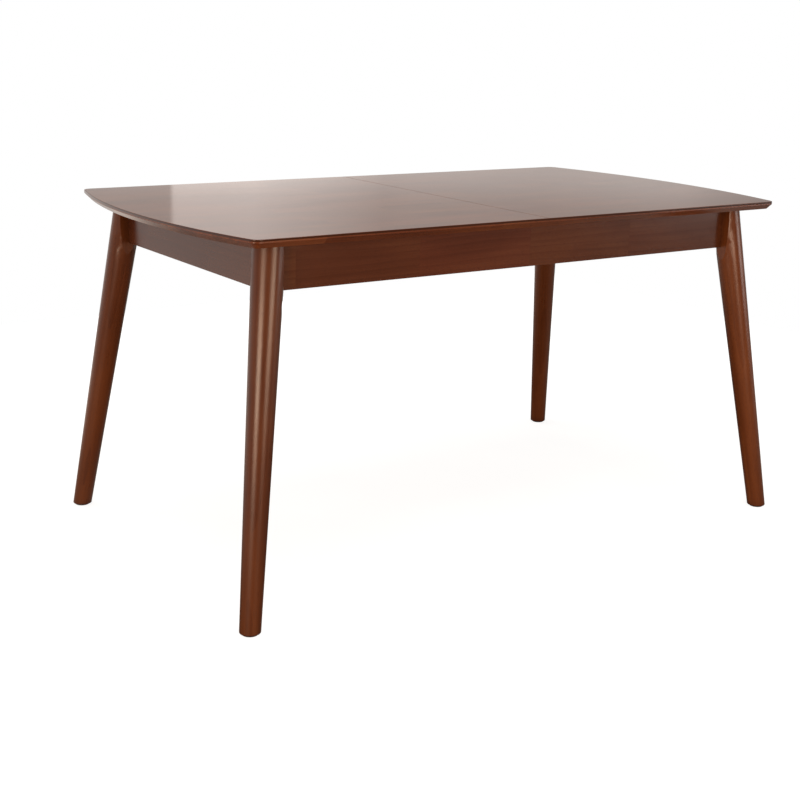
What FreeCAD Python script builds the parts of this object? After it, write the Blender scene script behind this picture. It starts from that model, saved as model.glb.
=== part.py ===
import FreeCAD, Part
import math
import os
import Sketcher
from types import SimpleNamespace

os.makedirs("parts", exist_ok=True)

doc = FreeCAD.newDocument("extending_dining_table")

# Driving dimensions in millimetres
DIMENSIONS = {
    # Top
    "table_length": 1505,
    "table_width": 810,
    "table_height": 760,
    "top_thickness": 18,
    "end_bow": 57,
    "plan_corner_radius": 20,
    "edge_bevel": 11,
    "arris_radius": 1.5,
    "seam_gap": 0.4,
    "seam_ease": 0.8,
    "extension_travel": 200,
    # Legs
    "foot_inset_from_end": 33.9,
    "foot_reach_past_side": 20,
    "head_inset_from_end": 132.6,
    "leg_head_radius": 33,
    "leg_foot_radius": 21.3,
    "leg_flat_depth": 11,
    "foot_edge_round": 2,
    "glide_radius": 16,
    "glide_height": 3,
    # Aprons
    "apron_height": 95,
    "apron_thickness": 22,
    "apron_outset_from_leg_axis": 5.2,
    "apron_edge_round": 1.5,
    "top_running_gap": 0.8,
    # Corner blocks and their fasteners
    "block_thickness": 19,
    "block_height": 58,
    "block_rise_above_apron_edge": 15,
    "block_gap_to_slide_rail": 1.5,
    "leg_bolt_radius": 4,
    "leg_bolt_spread": 30,
    "leg_bolt_depth_past_axis": 6,
    "leg_bolt_tail": 4,
    "nut_height": 6.5,
    "nut_corner_radius": 7.5,
    "washer_radius": 10,
    "washer_thickness": 1.6,
    "fastener_fit": 0.05,
    # Cross rails
    "cross_rail_thickness": 30,
    "cross_rail_height": 67,
    "cross_rail_rise_above_apron_edge": 8,
    "stub_tenon_length": 8,
    "stub_tenon_shoulder": 10,
    "cross_rail_notch_gap": 2,
    # Slide rails and runners
    "slide_rail_width": 26,
    "slide_rail_height": 40,
    "slide_rail_drop": 20,
    "groove_depth": 7,
    "groove_mouth": 10,
    "groove_floor": 15,
    "tongue_fit": 0.3,
    "slide_side_gap": 0.5,
    "runner_width": 18,
    "runner_height": 57,
    "runner_reach_past_seam": 150,
    "runner_relief": 1.2,
    "batten_width": 38,
    "batten_gap_over_rails": 2,
    "batten_side_gap": 1,
    "stop_thickness": 8,
    "stop_width": 12,
    "runner_gap_to_leg_bolt": 4,
    "stop_end_gap": 0.5,
    # Wood screws
    "screw_shank_radius": 2,
    "screw_head_radius": 4,
    "screw_head_height": 2.8,
    "screw_bite_in_top": 12,
    "screw_bite_in_apron": 15,
    "screw_counterbore_margin": 0.6,
    "runner_screw_seat_below_top": 20,
    "batten_screw_head_recess": 0.4,
    "lap_screw_seat_depth": 30,
    "lap_screw_bite": 14,
    # Alignment pins in the seam
    "pin_radius": 4,
    "pin_length": 24,
    "pin_reach": 10,
    "pin_fit": 0.2,
    "pin_distance_from_side": 125,
    # Stored leaf
    "leaf_end_gap_in_well": 15,
    "leaf_side_gap_in_well": 7.5,
    "leaf_fold_gap": 1,
    "leaf_storage_drop": 14,
    "pivot_rod_radius": 4,
    "pivot_fit": 0.1,
    "pivot_drop": 7,
    "saddle_length": 16,
    "saddle_width": 26,
    "saddle_wall_over_rod": 1.5,
    "saddle_inset_from_leaf_end": 40,
    "bracket_thickness": 3,
    "bracket_width": 32,
    "bracket_wall_over_rod": 2,
    "bracket_depth": 45,
    "cleat_width": 26,
    "cleat_height": 18,
    "cleat_end_gap_to_pivot": 30,
    "hinge_length": 50,
    "hinge_leaf_width": 18,
    "hinge_plate_thickness": 1.5,
    "hinge_barrel_radius": 2.6,
    "hinge_pin_radius": 1.3,
    "hinge_fit": 0.1,
    "hinge_inset_from_leaf_end": 60,
    # Sliding bolts under the seam
    "lock_plate_thickness": 2,
    "lock_plate_width": 18,
    "lock_gap_to_seam": 3,
    "lock_keeper_length": 15,
    "lock_throw": 14,
    "lock_bar_width": 6,
    "lock_bar_thickness": 4,
    "lock_bar_fit": 0.1,
    "lock_keeper_fit": 0.5,
    "lock_strap_length": 6,
    "lock_strap_wall": 2,
    "lock_knob_radius": 3,
    "lock_knob_drop": 9,
    "lock_knob_clearance": 1,
    # One overrun for every cutting tool
    "cut_overrun": 5,
}

# The long apron's outer face, as a share of the way from the slide rail to the edge of the top
APRON_PLACE_SHARE = 0.5242

# Screw places as shares of the piece they hold
RUNNER_SCREW_SHARES = (0.08, 0.5, 0.92)
BATTEN_SCREW_SHARES = (-0.85, 0.0, 0.85)

LEFT, RIGHT = -1, 1
FRONT, BACK = -1, 1
SIDE_NAMES = {LEFT: "left", RIGHT: "right"}
FACE_NAMES = {FRONT: "front", BACK: "back"}

sheet = doc.addObject("Spreadsheet::Sheet", "Sizes")
for row, (alias, number) in enumerate(DIMENSIONS.items(), start=1):
    sheet.set(f"A{row}", alias)
    sheet.set(f"B{row}", str(number))
    sheet.setAlias(f"B{row}", alias)
doc.recompute()


class Size:
    """A length with its number and the formula in named sizes that it comes from."""

    def __init__(self, number, text):
        self.number = float(number)
        self.text = text

    def __add__(self, other):
        other = as_size(other)
        return Size(self.number + other.number, f"({self.text} + {other.text})")

    def __sub__(self, other):
        other = as_size(other)
        return Size(self.number - other.number, f"({self.text} - {other.text})")

    def __mul__(self, factor):
        factor = as_size(factor)
        return Size(self.number * factor.number, f"({self.text} * {factor.text})")

    def __truediv__(self, divisor):
        divisor = as_size(divisor)
        return Size(self.number / divisor.number, f"({self.text} / {divisor.text})")

    def __neg__(self):
        return self * -1

    __radd__ = __add__
    __rmul__ = __mul__


def as_size(value):
    return value if isinstance(value, Size) else Size(value, f"({value})")


def in_order(first, second):
    """Two places, the lower one first."""
    return sorted((as_size(first), as_size(second)), key=lambda size: size.number)


def root_of(value):
    return Size(math.sqrt(value.number), f"sqrt({value.text})")


S = SimpleNamespace(**{name: Size(number, f"Sizes.{name}") for name, number in DIMENSIONS.items()})
ZERO = Size(0, "0")
DIAGONAL = math.sqrt(2)


# Basic pieces

def bind(thing, **lengths):
    """Give an object its sizes, each one tied to the sheet."""
    for name, size in lengths.items():
        setattr(thing, name, size.number)
        thing.setExpression(name, size.text)
    return thing


def put(thing, x, y, z, rotation=None):
    """Place an object at a point whose coordinates are tied to the sheet."""
    point = [as_size(value) for value in (x, y, z)]
    turn = rotation or FreeCAD.Rotation()
    thing.Placement = FreeCAD.Placement(FreeCAD.Vector(*(value.number for value in point)), turn)
    for axis, value in zip("xyz", point):
        thing.setExpression(f"Placement.Base.{axis}", value.text)
    return thing


def block(name, low, high):
    """A rectangular piece between two corners."""
    low = [as_size(value) for value in low]
    high = [as_size(value) for value in high]
    piece = doc.addObject("Part::Box", name)
    bind(piece, Length=high[0] - low[0], Width=high[1] - low[1], Height=high[2] - low[2])
    return put(piece, *low)


def along(direction):
    """The rotation that turns the upright axis to a direction."""
    return FreeCAD.Rotation(FreeCAD.Vector(0, 0, 1), FreeCAD.Vector(*direction))


def rod(name, radius, length, start, direction):
    """A round piece from a point along a direction."""
    piece = doc.addObject("Part::Cylinder", name)
    bind(piece, Radius=radius, Height=length)
    return put(piece, *start, along(direction))


def joined(name, pieces):
    piece = doc.addObject("Part::MultiFuse", name)
    piece.Shapes = pieces
    return piece


def grouped(name, pieces):
    piece = doc.addObject("Part::Compound", name)
    piece.Links = pieces
    return piece


def cut(name, base, tools):
    """A piece with material taken away by every tool."""
    piece = doc.addObject("Part::Cut", name)
    piece.Base = base
    piece.Tool = tools[0] if len(tools) == 1 else grouped(f"{name}_tools", tools)
    return piece


# Sketched profiles

def arc_centre(start, end, radius):
    """The centre of the shorter arc; a positive radius turns left on the way from start to end."""
    chord = end - start
    middle = (start + end) * 0.5
    height = math.sqrt(max(radius ** 2 - (chord.Length / 2) ** 2, 0))
    left = FreeCAD.Vector(-chord.y, chord.x, 0).normalize()
    return middle + left * math.copysign(height, radius)


def draw_loop(sketch, loop):
    """One closed outline: corners (x, y), or (x, y, radius) where an arc leads to that corner."""
    corners = [[as_size(value) for value in corner[:2]] for corner in loop]
    points = [FreeCAD.Vector(x.number, y.number, 0) for x, y in corners]
    edges = []
    for index, corner in enumerate(loop):
        start, end = points[index - 1], points[index]
        if len(corner) == 2:
            number = sketch.addGeometry(Part.LineSegment(start, end), False)
            edges.append((number, 1, 2))
            continue
        radius = corner[2]
        centre = arc_centre(start, end, radius.number)
        circle = Part.Circle(centre, FreeCAD.Vector(0, 0, 1), abs(radius.number))
        leftward = radius.number > 0
        first, last = (start, end) if leftward else (end, start)
        arc = Part.ArcOfCircle(circle, circle.parameter(first), circle.parameter(last))
        number = sketch.addGeometry(arc, False)
        rule = sketch.addConstraint(Sketcher.Constraint("Radius", number, abs(radius.number)))
        sketch.setExpression(f"Constraints[{rule}]", f"abs({radius.text})")
        edges.append((number, 1, 2) if leftward else (number, 2, 1))
    for index, (number, start_end, _) in enumerate(edges):
        before, _, before_end = edges[index - 1]
        sketch.addConstraint(Sketcher.Constraint("Coincident", before, before_end, number, start_end))
        for value, kind, axis in zip(corners[index - 1], ("DistanceX", "DistanceY"), (-2, -1)):
            if value.number == 0:
                sketch.addConstraint(Sketcher.Constraint("PointOnObject", number, start_end, axis))
                continue
            rule = sketch.addConstraint(
                Sketcher.Constraint(kind, -1, 1, number, start_end, value.number))
            sketch.setExpression(f"Constraints[{rule}]", value.text)


def draw(body, name, plane, height, loops):
    """A sketch on one of the body's own planes, raised by a height."""
    sketch = body.newObject("Sketcher::SketchObject", name)
    support = next(item for item in body.Origin.OriginFeatures if item.Role == plane)
    sketch.AttachmentSupport = [(support, "")]
    sketch.MapMode = "FlatFace"
    sketch.AttachmentOffset = FreeCAD.Placement(
        FreeCAD.Vector(0, 0, height.number), FreeCAD.Rotation())
    sketch.setExpression("AttachmentOffset.Base.z", height.text)
    for loop in loops:
        draw_loop(sketch, loop)
    return sketch


def extrusion(name, plane, low, high, loops):
    """A body with one padded profile that runs from low to high along the plane's normal."""
    body = doc.addObject("PartDesign::Body", name)
    low, high = as_size(low), as_size(high)
    height = -high if plane == "XZ_Plane" else low
    sketch = draw(body, f"{name}_profile", plane, height, loops)
    pad = body.newObject("PartDesign::Pad", f"{name}_pad")
    pad.Profile = sketch
    bind(pad, Length=high - low)
    return body


def edges_where(shape, test):
    return [f"Edge{number}" for number, edge in enumerate(shape.Edges, start=1) if test(edge)]


def dress(body, kind, name, size, test):
    """Round or chamfer the edges of the body's last feature that pass a test."""
    doc.recompute()
    base = body.Tip
    feature = body.newObject(f"PartDesign::{kind}", name)
    feature.Base = (base, edges_where(base.Shape, test))
    bind(feature, **{"Radius" if kind == "Fillet" else "Size": size})
    return feature


def middle_of(edge):
    first, last = edge.ParameterRange
    return edge.valueAt((first + last) / 2)


def is_upright(edge):
    box = edge.BoundBox
    return max(box.XLength, box.YLength) < box.ZLength * 1e-3


def lies_at(edge, height):
    box = edge.BoundBox
    return box.ZLength < 1e-6 and abs(box.ZMin - height.number) < 1e-4


# Places worked out from the driving dimensions

half_length = S.table_length / 2
half_width = S.table_width / 2
half_seam = S.seam_gap / 2
underside = S.table_height - S.top_thickness
frame_top = underside - S.top_running_gap
apron_bottom = frame_top - S.apron_height
apron_middle = frame_top - S.apron_height / 2

# Places across the width: leaf, inner runner, slide rail, outer runner, apron, leg
leaf_half = (half_width - half_seam) / 2
inner_runner_near = leaf_half + S.leaf_side_gap_in_well
inner_runner_far = inner_runner_near + S.runner_width
rail_near = inner_runner_far + S.slide_side_gap
rail_far = rail_near + S.slide_rail_width
outer_runner_near = rail_far + S.slide_side_gap
outer_runner_far = outer_runner_near + S.runner_width
apron_outer_y = rail_far + (half_width - rail_far) * APRON_PLACE_SHARE
inner_y = apron_outer_y - S.apron_thickness
axis_y = apron_outer_y - S.apron_outset_from_leg_axis

# Leg axis at the floor, at the middle of the aprons and under the top, for the back right leg
middle_share = apron_middle / underside
foot_x = half_length - S.foot_inset_from_end
foot_y = half_width + S.foot_reach_past_side
head_x = half_length - S.head_inset_from_end
head_y = foot_y - (foot_y - axis_y) / middle_share
axis_x = foot_x - (foot_x - head_x) * middle_share
apron_outer_x = axis_x + S.apron_outset_from_leg_axis
inner_x = apron_outer_x - S.apron_thickness

# Flats on the leg heads
radius_at_apron = S.leg_foot_radius + (S.leg_head_radius - S.leg_foot_radius) * middle_share
flat_distance = radius_at_apron - S.leg_flat_depth
flat_x = axis_x - flat_distance
flat_y = axis_y - flat_distance

rail_top = underside - S.slide_rail_drop
rail_bottom = rail_top - S.slide_rail_height
groove_height = rail_top - S.slide_rail_height / 2
runner_bottom = underside - S.runner_height

# Corner block, measured from the inner corner of the aprons along both of them
block_reach = inner_y - rail_far - S.block_gap_to_slide_rail
block_outer = block_reach - S.block_thickness * DIAGONAL
block_bottom = apron_bottom + S.block_rise_above_apron_edge
block_top = block_bottom + S.block_height
block_middle = block_bottom + S.block_height / 2

# Places along the length: stops, runners, leaf, cross rails, battens
bolt_seat = block_reach / 2
bolt_stack = S.washer_thickness + S.nut_height + S.leg_bolt_tail
bolt_end = bolt_seat + bolt_stack / DIAGONAL
runner_to_corner = inner_y - outer_runner_far
runner_end_open = inner_x - (bolt_end * 2 - runner_to_corner + S.runner_gap_to_leg_bolt)
stop_near = runner_end_open + S.stop_end_gap
stop_far = stop_near + S.stop_thickness
runner_end = runner_end_open - S.extension_travel
batten_bottom = rail_top + S.batten_gap_over_rails
leaf_end = S.extension_travel - half_seam
cross_rail_near = leaf_end + S.leaf_end_gap_in_well
cross_rail_far = cross_rail_near + S.cross_rail_thickness
batten_middle = (cross_rail_near + inner_x - S.extension_travel) / 2
cross_rail_bottom = apron_bottom + S.cross_rail_rise_above_apron_edge
cross_rail_top = cross_rail_bottom + S.cross_rail_height

# Heights of the stored leaf
upper_panel_top = underside - S.leaf_storage_drop
upper_panel_bottom = upper_panel_top - S.top_thickness
lower_panel_top = upper_panel_bottom - S.leaf_fold_gap
lower_panel_bottom = lower_panel_top - S.top_thickness
pivot_height = underside - S.pivot_drop
pivot_y = (leaf_half + half_seam) / 2

nodes = []


def keep(piece, label):
    """Name a finished piece; its name is its file's name."""
    piece.Label = label
    nodes.append(piece)
    return piece


# Screws

def screw(name, seat, direction, shank_length, counterbore):
    """A pan head screw with its head seated at a point, and the tool for its hole."""
    back = tuple(-value for value in direction)
    shank = rod(f"{name}_shank", S.screw_shank_radius, shank_length, seat, direction)
    head = rod(f"{name}_head", S.screw_head_radius, S.screw_head_height, seat, back)
    solid = joined(name, [shank, head])
    hole = rod(f"{name}_hole", S.screw_shank_radius + S.fastener_fit, shank_length, seat, direction)
    bore_radius = S.screw_head_radius + S.screw_counterbore_margin
    bore = rod(f"{name}_bore", bore_radius, counterbore, seat, back)
    return solid, joined(f"{name}_tool", [hole, bore])


# Table top

def end_outline(side):
    """The plan of one half: straight sides and seam, bowed end."""
    corner = half_length - S.end_bow
    radius = (half_width * half_width + S.end_bow * S.end_bow) / (S.end_bow * 2)
    return [
        (half_seam * side, -half_width),
        (corner * side, -half_width),
        (corner * side, half_width, radius * side),
        (half_seam * side, half_width),
    ]


def edge_dressing(body, name, bottom, top, is_seam_edge):
    """The bevel under the outer edge and the fine round on its upper arris."""
    dress(body, "Chamfer", f"{name}_bevel", S.edge_bevel,
          lambda edge: lies_at(edge, bottom) and not is_seam_edge(edge))
    dress(body, "Fillet", f"{name}_arris", S.arris_radius,
          lambda edge: lies_at(edge, top) and not is_seam_edge(edge))


def pin_places():
    return [face * (half_width - S.pin_distance_from_side) for face in (FRONT, BACK)]


def alignment_pin(name, face_x, direction, y, height):
    """A pin whose outer end stands out of a seam face."""
    inset = S.pin_length - S.pin_reach
    return rod(name, S.pin_radius, S.pin_length, (face_x - inset * direction, y, height), (direction, 0, 0))


def pin_socket(name, face_x, direction, y, height):
    """The blind hole that takes a pin's free end; the direction points into the wood."""
    start = face_x - S.cut_overrun * direction
    depth = S.pin_reach + S.pin_fit + S.cut_overrun
    return rod(name, S.pin_radius + S.pin_fit, depth, (start, y, height), (direction, 0, 0))


def pin_seat(name, face_x, direction, y, height):
    """The hole that a pin is glued into; the direction points out of the wood."""
    depth = S.pin_length - S.pin_reach
    return rod(name, S.pin_radius + S.fastener_fit, depth + S.cut_overrun,
               (face_x - depth * direction, y, height), (direction, 0, 0))


def seam_ease(side):
    """The cutter that takes the sharp arris off the seam's upper edge."""
    name = f"seam_ease_{SIDE_NAMES[side]}"
    cutter = doc.addObject("Part::Box", name)
    width = S.seam_ease * DIAGONAL
    bind(cutter, Length=width, Height=width, Width=(half_width + S.cut_overrun) * 2)
    turn = FreeCAD.Rotation(FreeCAD.Vector(0, 1, 0), 45)
    return put(cutter, half_seam * side - S.seam_ease, -half_width - S.cut_overrun, S.table_height, turn)


def top_half(side, tools):
    name = f"top_{SIDE_NAMES[side]}"
    body = extrusion(f"{name}_board", "XY_Plane", underside, S.table_height, [end_outline(side)])
    seam = half_seam.number * side

    def is_seam_edge(edge):
        return abs(middle_of(edge).x - seam) < 1e-4

    dress(body, "Fillet", f"{name}_corners", S.plan_corner_radius,
          lambda edge: is_upright(edge) and not is_seam_edge(edge))
    edge_dressing(body, f"{name}_board", underside, S.table_height, is_seam_edge)
    return keep(cut(f"{name}_cut", body, tools + [seam_ease(side)]), name)


# Sliding parts under the top

def dovetail(face, direction, depth, mouth, floor):
    """Corner points of a dovetail that runs into or out of an upright face."""
    far = face + depth * direction
    return [
        (face, groove_height - mouth / 2),
        (far, groove_height - floor / 2),
        (far, groove_height + floor / 2),
        (face, groove_height + mouth / 2),
    ]


def runner(side, face):
    """A wooden runner with a dovetail tongue, screwed up into its top half."""
    name = f"runner_{SIDE_NAMES[side]}_{FACE_NAMES[face]}"
    outer = side == LEFT
    near = outer_runner_near if outer else inner_runner_near
    far = outer_runner_far if outer else inner_runner_far
    tongue_face = near if outer else far
    tongue_direction = -1 if outer else 1
    reach = S.groove_depth + S.slide_side_gap - S.tongue_fit
    flare = (S.groove_floor - S.groove_mouth) / S.groove_depth
    tongue_root = S.groove_mouth - S.tongue_fit * 2 - flare * S.slide_side_gap
    tongue = dovetail(tongue_face, tongue_direction, reach, tongue_root, tongue_root + flare * reach)
    back_face = far if outer else near
    profile = [(tongue_face, underside), (back_face, underside),
               (back_face, runner_bottom), (tongue_face, runner_bottom)] + tongue
    profile = [(y * face, z) for y, z in profile]
    ends = in_order(runner_end * side, -S.runner_reach_past_seam * side)
    body = extrusion(f"{name}_bar", "YZ_Plane", *ends, [profile])

    middle_y = (near + far) / 2 * face
    screws = []
    tools = []
    for number, share in enumerate(RUNNER_SCREW_SHARES, start=1):
        seat = (runner_end * side * share, middle_y, underside - S.runner_screw_seat_below_top)
        length = S.runner_screw_seat_below_top + S.screw_bite_in_top
        depth = S.runner_height - S.runner_screw_seat_below_top + S.cut_overrun
        solid, tool = screw(f"{name}_screw_{number}", seat, (0, 0, 1), length, depth)
        screws.append(solid)
        tools.append(tool)

    relief_x = in_order(half_seam * side, -(S.runner_reach_past_seam + S.cut_overrun) * side)
    relief_y = in_order((near - S.cut_overrun) * face, (far + S.cut_overrun) * face)
    relief = block(f"{name}_relief", (relief_x[0], relief_y[0], underside - S.runner_relief),
                   (relief_x[1], relief_y[1], underside + S.cut_overrun))
    keep(cut(f"{name}_cut", body, tools + [relief]), name)
    return screws, tools


def batten(side):
    """A batten across the underside, between the runners of its own half."""
    name = f"batten_{SIDE_NAMES[side]}"
    reach = (outer_runner_near if side == LEFT else inner_runner_near) - S.batten_side_gap
    middle_x = batten_middle * side
    ends = (middle_x - S.batten_width / 2, middle_x + S.batten_width / 2)
    body = extrusion(f"{name}_bar", "YZ_Plane", *ends, [[
        (-reach, underside), (-reach + (underside - batten_bottom), batten_bottom),
        (reach - (underside - batten_bottom), batten_bottom), (reach, underside),
    ]])
    screws = []
    tools = []
    for number, share in enumerate(BATTEN_SCREW_SHARES, start=1):
        depth = S.screw_head_height + S.batten_screw_head_recess
        seat = (middle_x, reach * share, batten_bottom + depth)
        length = underside - batten_bottom - depth + S.screw_bite_in_top
        solid, tool = screw(f"{name}_screw_{number}", seat, (0, 0, 1), length, depth + S.cut_overrun)
        screws.append(solid)
        tools.append(tool)
    keep(cut(f"{name}_cut", body, tools), name)
    return screws, tools


# Fixed frame

def leg(side, face, tools):
    """A round tapered leg, splayed both ways, with two upright flats that the aprons butt against."""
    name = f"leg_{FACE_NAMES[face]}_{SIDE_NAMES[side]}"
    rise = root_of((head_x - foot_x) * (head_x - foot_x)
                   + (head_y - foot_y) * (head_y - foot_y) + underside * underside)
    spread = (S.leg_head_radius - S.leg_foot_radius) * S.cut_overrun / rise
    taper = doc.addObject("Part::Cone", f"{name}_taper")
    bind(taper, Radius1=S.leg_foot_radius - spread, Radius2=S.leg_head_radius + spread,
         Height=rise + S.cut_overrun * 2)
    lean_x = (head_x - foot_x) * S.cut_overrun / rise
    lean_y = (head_y - foot_y) * S.cut_overrun / rise
    lift = underside * S.cut_overrun / rise
    direction = ((head_x - foot_x).number * side, (head_y - foot_y).number * face, underside.number)
    put(taper, (foot_x - lean_x) * side, (foot_y - lean_y) * face, -lift, along(direction))

    reach = half_length * 2
    slab = block(f"{name}_slab", (-reach, -reach, S.glide_height), (reach, reach, frame_top))
    blank = doc.addObject("Part::Common", f"{name}_blank")
    blank.Base = taper
    blank.Tool = slab
    doc.recompute()
    rounded = doc.addObject("Part::Fillet", f"{name}_rounded")
    rounded.Base = blank
    foot_edges = [number for number, edge in enumerate(blank.Shape.Edges, start=1)
                  if lies_at(edge, S.glide_height)]
    rounded.Edges = [(number, S.foot_edge_round.number, S.foot_edge_round.number) for number in foot_edges]

    inward_x = in_order(flat_x * side, ZERO)
    inward_y = in_order(flat_y * face, ZERO)
    flat_for_long_apron = block(f"{name}_long_flat", (inward_x[0], -reach, ZERO),
                                (inward_x[1], reach, underside))
    flat_for_end_apron = block(f"{name}_end_flat", (-reach, inward_y[0], ZERO),
                               (reach, inward_y[1], underside))
    return keep(cut(f"{name}_cut", rounded, [flat_for_long_apron, flat_for_end_apron] + tools), name)


def glide(side, face):
    """A round glide under the middle of a foot."""
    share = S.glide_height / underside
    x = foot_x - (foot_x - head_x) * share
    y = foot_y - (foot_y - head_y) * share
    name = f"foot_glide_{FACE_NAMES[face]}_{SIDE_NAMES[side]}"
    disc = rod(f"{name}_disc", S.glide_radius, S.glide_height, (x * side, y * face, ZERO), (0, 0, 1))
    return keep(disc, name)


def in_corner(side, face, along_long_apron, along_end_apron):
    """A point measured from the inner corner of two aprons."""
    return (inner_x - along_long_apron) * side, (inner_y - along_end_apron) * face


def corner_block(side, face):
    """A diagonal block with two leg bolts through it and a screw into each apron."""
    name = f"corner_block_{FACE_NAMES[face]}_{SIDE_NAMES[side]}"
    plan = [(block_outer, ZERO), (block_reach, ZERO), (ZERO, block_reach), (ZERO, block_outer)]
    corners = [in_corner(side, face, first, second) for first, second in plan]
    body = extrusion(f"{name}_blank", "XY_Plane", block_bottom, block_top, [corners])

    inward = (-side, -face, 0)
    start = S.apron_outset_from_leg_axis - S.apron_thickness - S.leg_bolt_depth_past_axis / DIAGONAL
    bolt_length = (bolt_seat - start) * DIAGONAL + bolt_stack
    bolts = []
    washers = []
    nuts = []
    bolt_tools = []
    for number, step in enumerate((-1, 1), start=1):
        height = block_middle + S.leg_bolt_spread * step / 2
        tag = f"{name}_bolt_{number}"
        foot = (*in_corner(side, face, start, start), height)
        bolts.append(rod(tag, S.leg_bolt_radius, bolt_length, foot, inward))
        bolt_tools.append(rod(f"{tag}_hole", S.leg_bolt_radius + S.fastener_fit, bolt_length, foot, inward))
        washer_seat = (*in_corner(side, face, bolt_seat, bolt_seat), height)
        disc = rod(f"{tag}_washer_disc", S.washer_radius, S.washer_thickness, washer_seat, inward)
        washers.append(cut(f"{tag}_washer", disc, [bolt_tools[-1]]))
        nut_place = bolt_seat + S.washer_thickness / DIAGONAL
        prism = doc.addObject("Part::Prism", f"{tag}_nut_prism")
        prism.Polygon = 6
        bind(prism, Circumradius=S.nut_corner_radius, Height=S.nut_height)
        put(prism, *in_corner(side, face, nut_place, nut_place), height, along(inward))
        nuts.append(cut(f"{tag}_nut", prism, [bolt_tools[-1]]))

    middle = (block_outer + block_reach) / 2
    depth = block_reach - middle
    screws = []
    screw_tools = []
    seats = (
        (*in_corner(side, face, middle, depth - S.screw_head_height), (0, face, 0)),
        (*in_corner(side, face, depth - S.screw_head_height, middle), (side, 0, 0)),
    )
    for number, (x, y, direction) in enumerate(seats, start=1):
        length = depth - S.screw_head_height + S.screw_bite_in_apron
        solid, tool = screw(f"{name}_screw_{number}", (x, y, block_middle), direction, length,
                            block_reach)
        screws.append(solid)
        screw_tools.append(tool)
    keep(cut(f"{name}_cut", body, bolt_tools + screw_tools), name)
    return bolts, washers, nuts, screws, bolt_tools, screw_tools


def tenon_height_span():
    return cross_rail_bottom + S.stub_tenon_shoulder, cross_rail_top - S.stub_tenon_shoulder


def cross_rail(side, tools):
    """A rail between the long aprons, with stub tenons and a notch that the slides pass through."""
    name = f"cross_rail_{SIDE_NAMES[side]}"
    low, high = tenon_height_span()
    notch_near = inner_runner_near - S.cross_rail_notch_gap
    notch_far = outer_runner_far + S.cross_rail_notch_gap
    half = [
        (notch_near, cross_rail_top), (notch_near, rail_bottom),
        (notch_far, rail_bottom), (notch_far, cross_rail_top), (inner_y, cross_rail_top),
        (inner_y, high), (inner_y + S.stub_tenon_length, high),
        (inner_y + S.stub_tenon_length, low), (inner_y, low), (inner_y, cross_rail_bottom),
    ]
    mirrored = [(-y, z) for y, z in reversed(half)]
    ends = in_order(cross_rail_near * side, cross_rail_far * side)
    body = extrusion(f"{name}_bar", "YZ_Plane", *ends, [half + mirrored])
    return keep(cut(f"{name}_cut", body, tools), name)


def slide_rail(face, tools):
    """A fixed rail between the end aprons with a dovetail groove down each side."""
    name = f"slide_rail_{FACE_NAMES[face]}"
    near_groove = dovetail(rail_near, 1, S.groove_depth, S.groove_mouth, S.groove_floor)
    far_groove = dovetail(rail_far, -1, S.groove_depth, S.groove_mouth, S.groove_floor)
    profile = [(rail_near, rail_bottom)] + near_groove + [(rail_near, rail_top)]
    profile += [(rail_far, rail_top)] + far_groove[::-1] + [(rail_far, rail_bottom)]
    profile = [(y * face, z) for y, z in profile]
    body = extrusion(f"{name}_bar", "YZ_Plane", -inner_x, inner_x, [profile])
    return keep(cut(f"{name}_cut", body, tools), name)


def lap_screw(side, face):
    """The screw that holds a slide rail down in the notch of a cross rail."""
    x = (cross_rail_near + cross_rail_far) / 2 * side
    y = (rail_near + rail_far) / 2 * face
    seat = rail_bottom - S.lap_screw_seat_depth / 2
    length = S.lap_screw_seat_depth / 2 + S.lap_screw_bite
    depth = seat - cross_rail_bottom + S.cut_overrun
    return screw(f"lap_screw_{SIDE_NAMES[side]}_{FACE_NAMES[face]}", (x, y, seat), (0, 0, 1), length, depth)


def long_apron(face, tools):
    name = f"apron_{FACE_NAMES[face]}"
    ends = in_order(apron_outer_y * face, inner_y * face)
    body = extrusion(f"{name}_board", "XZ_Plane", *ends, [[
        (-flat_x, apron_bottom), (flat_x, apron_bottom), (flat_x, frame_top), (-flat_x, frame_top),
    ]])
    dress(body, "Fillet", f"{name}_eased", S.apron_edge_round,
          lambda edge: lies_at(edge, apron_bottom) and edge.BoundBox.XLength > edge.BoundBox.YLength)
    low, high = tenon_height_span()
    mortises = []
    for side in (LEFT, RIGHT):
        x = in_order(cross_rail_near * side, cross_rail_far * side)
        y = in_order((inner_y - S.cut_overrun) * face, (inner_y + S.stub_tenon_length) * face)
        mortises.append(block(f"{name}_mortise_{SIDE_NAMES[side]}", (x[0], y[0], low), (x[1], y[1], high)))
    return keep(cut(f"{name}_cut", body, mortises + tools), name)


def end_apron(side, tools):
    name = f"apron_{SIDE_NAMES[side]}"
    ends = in_order(apron_outer_x * side, inner_x * side)
    body = extrusion(f"{name}_board", "YZ_Plane", *ends, [[
        (-flat_y, apron_bottom), (flat_y, apron_bottom), (flat_y, frame_top), (-flat_y, frame_top),
    ]])
    dress(body, "Fillet", f"{name}_eased", S.apron_edge_round,
          lambda edge: lies_at(edge, apron_bottom) and edge.BoundBox.YLength > edge.BoundBox.XLength)
    return keep(cut(f"{name}_cut", body, tools), name)


def slide_stop(side, face):
    """A block on the side of a slide rail that ends a runner's travel."""
    outer = side == LEFT
    near = rail_far if outer else rail_near - S.stop_width
    far = near + S.stop_width
    x = in_order(stop_near * side, stop_far * side)
    y = in_order(near * face, far * face)
    return block(f"slide_stop_{SIDE_NAMES[side]}_{FACE_NAMES[face]}",
                 (x[0], y[0], rail_bottom), (x[1], y[1], rail_top))


# Stored butterfly leaf

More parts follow.
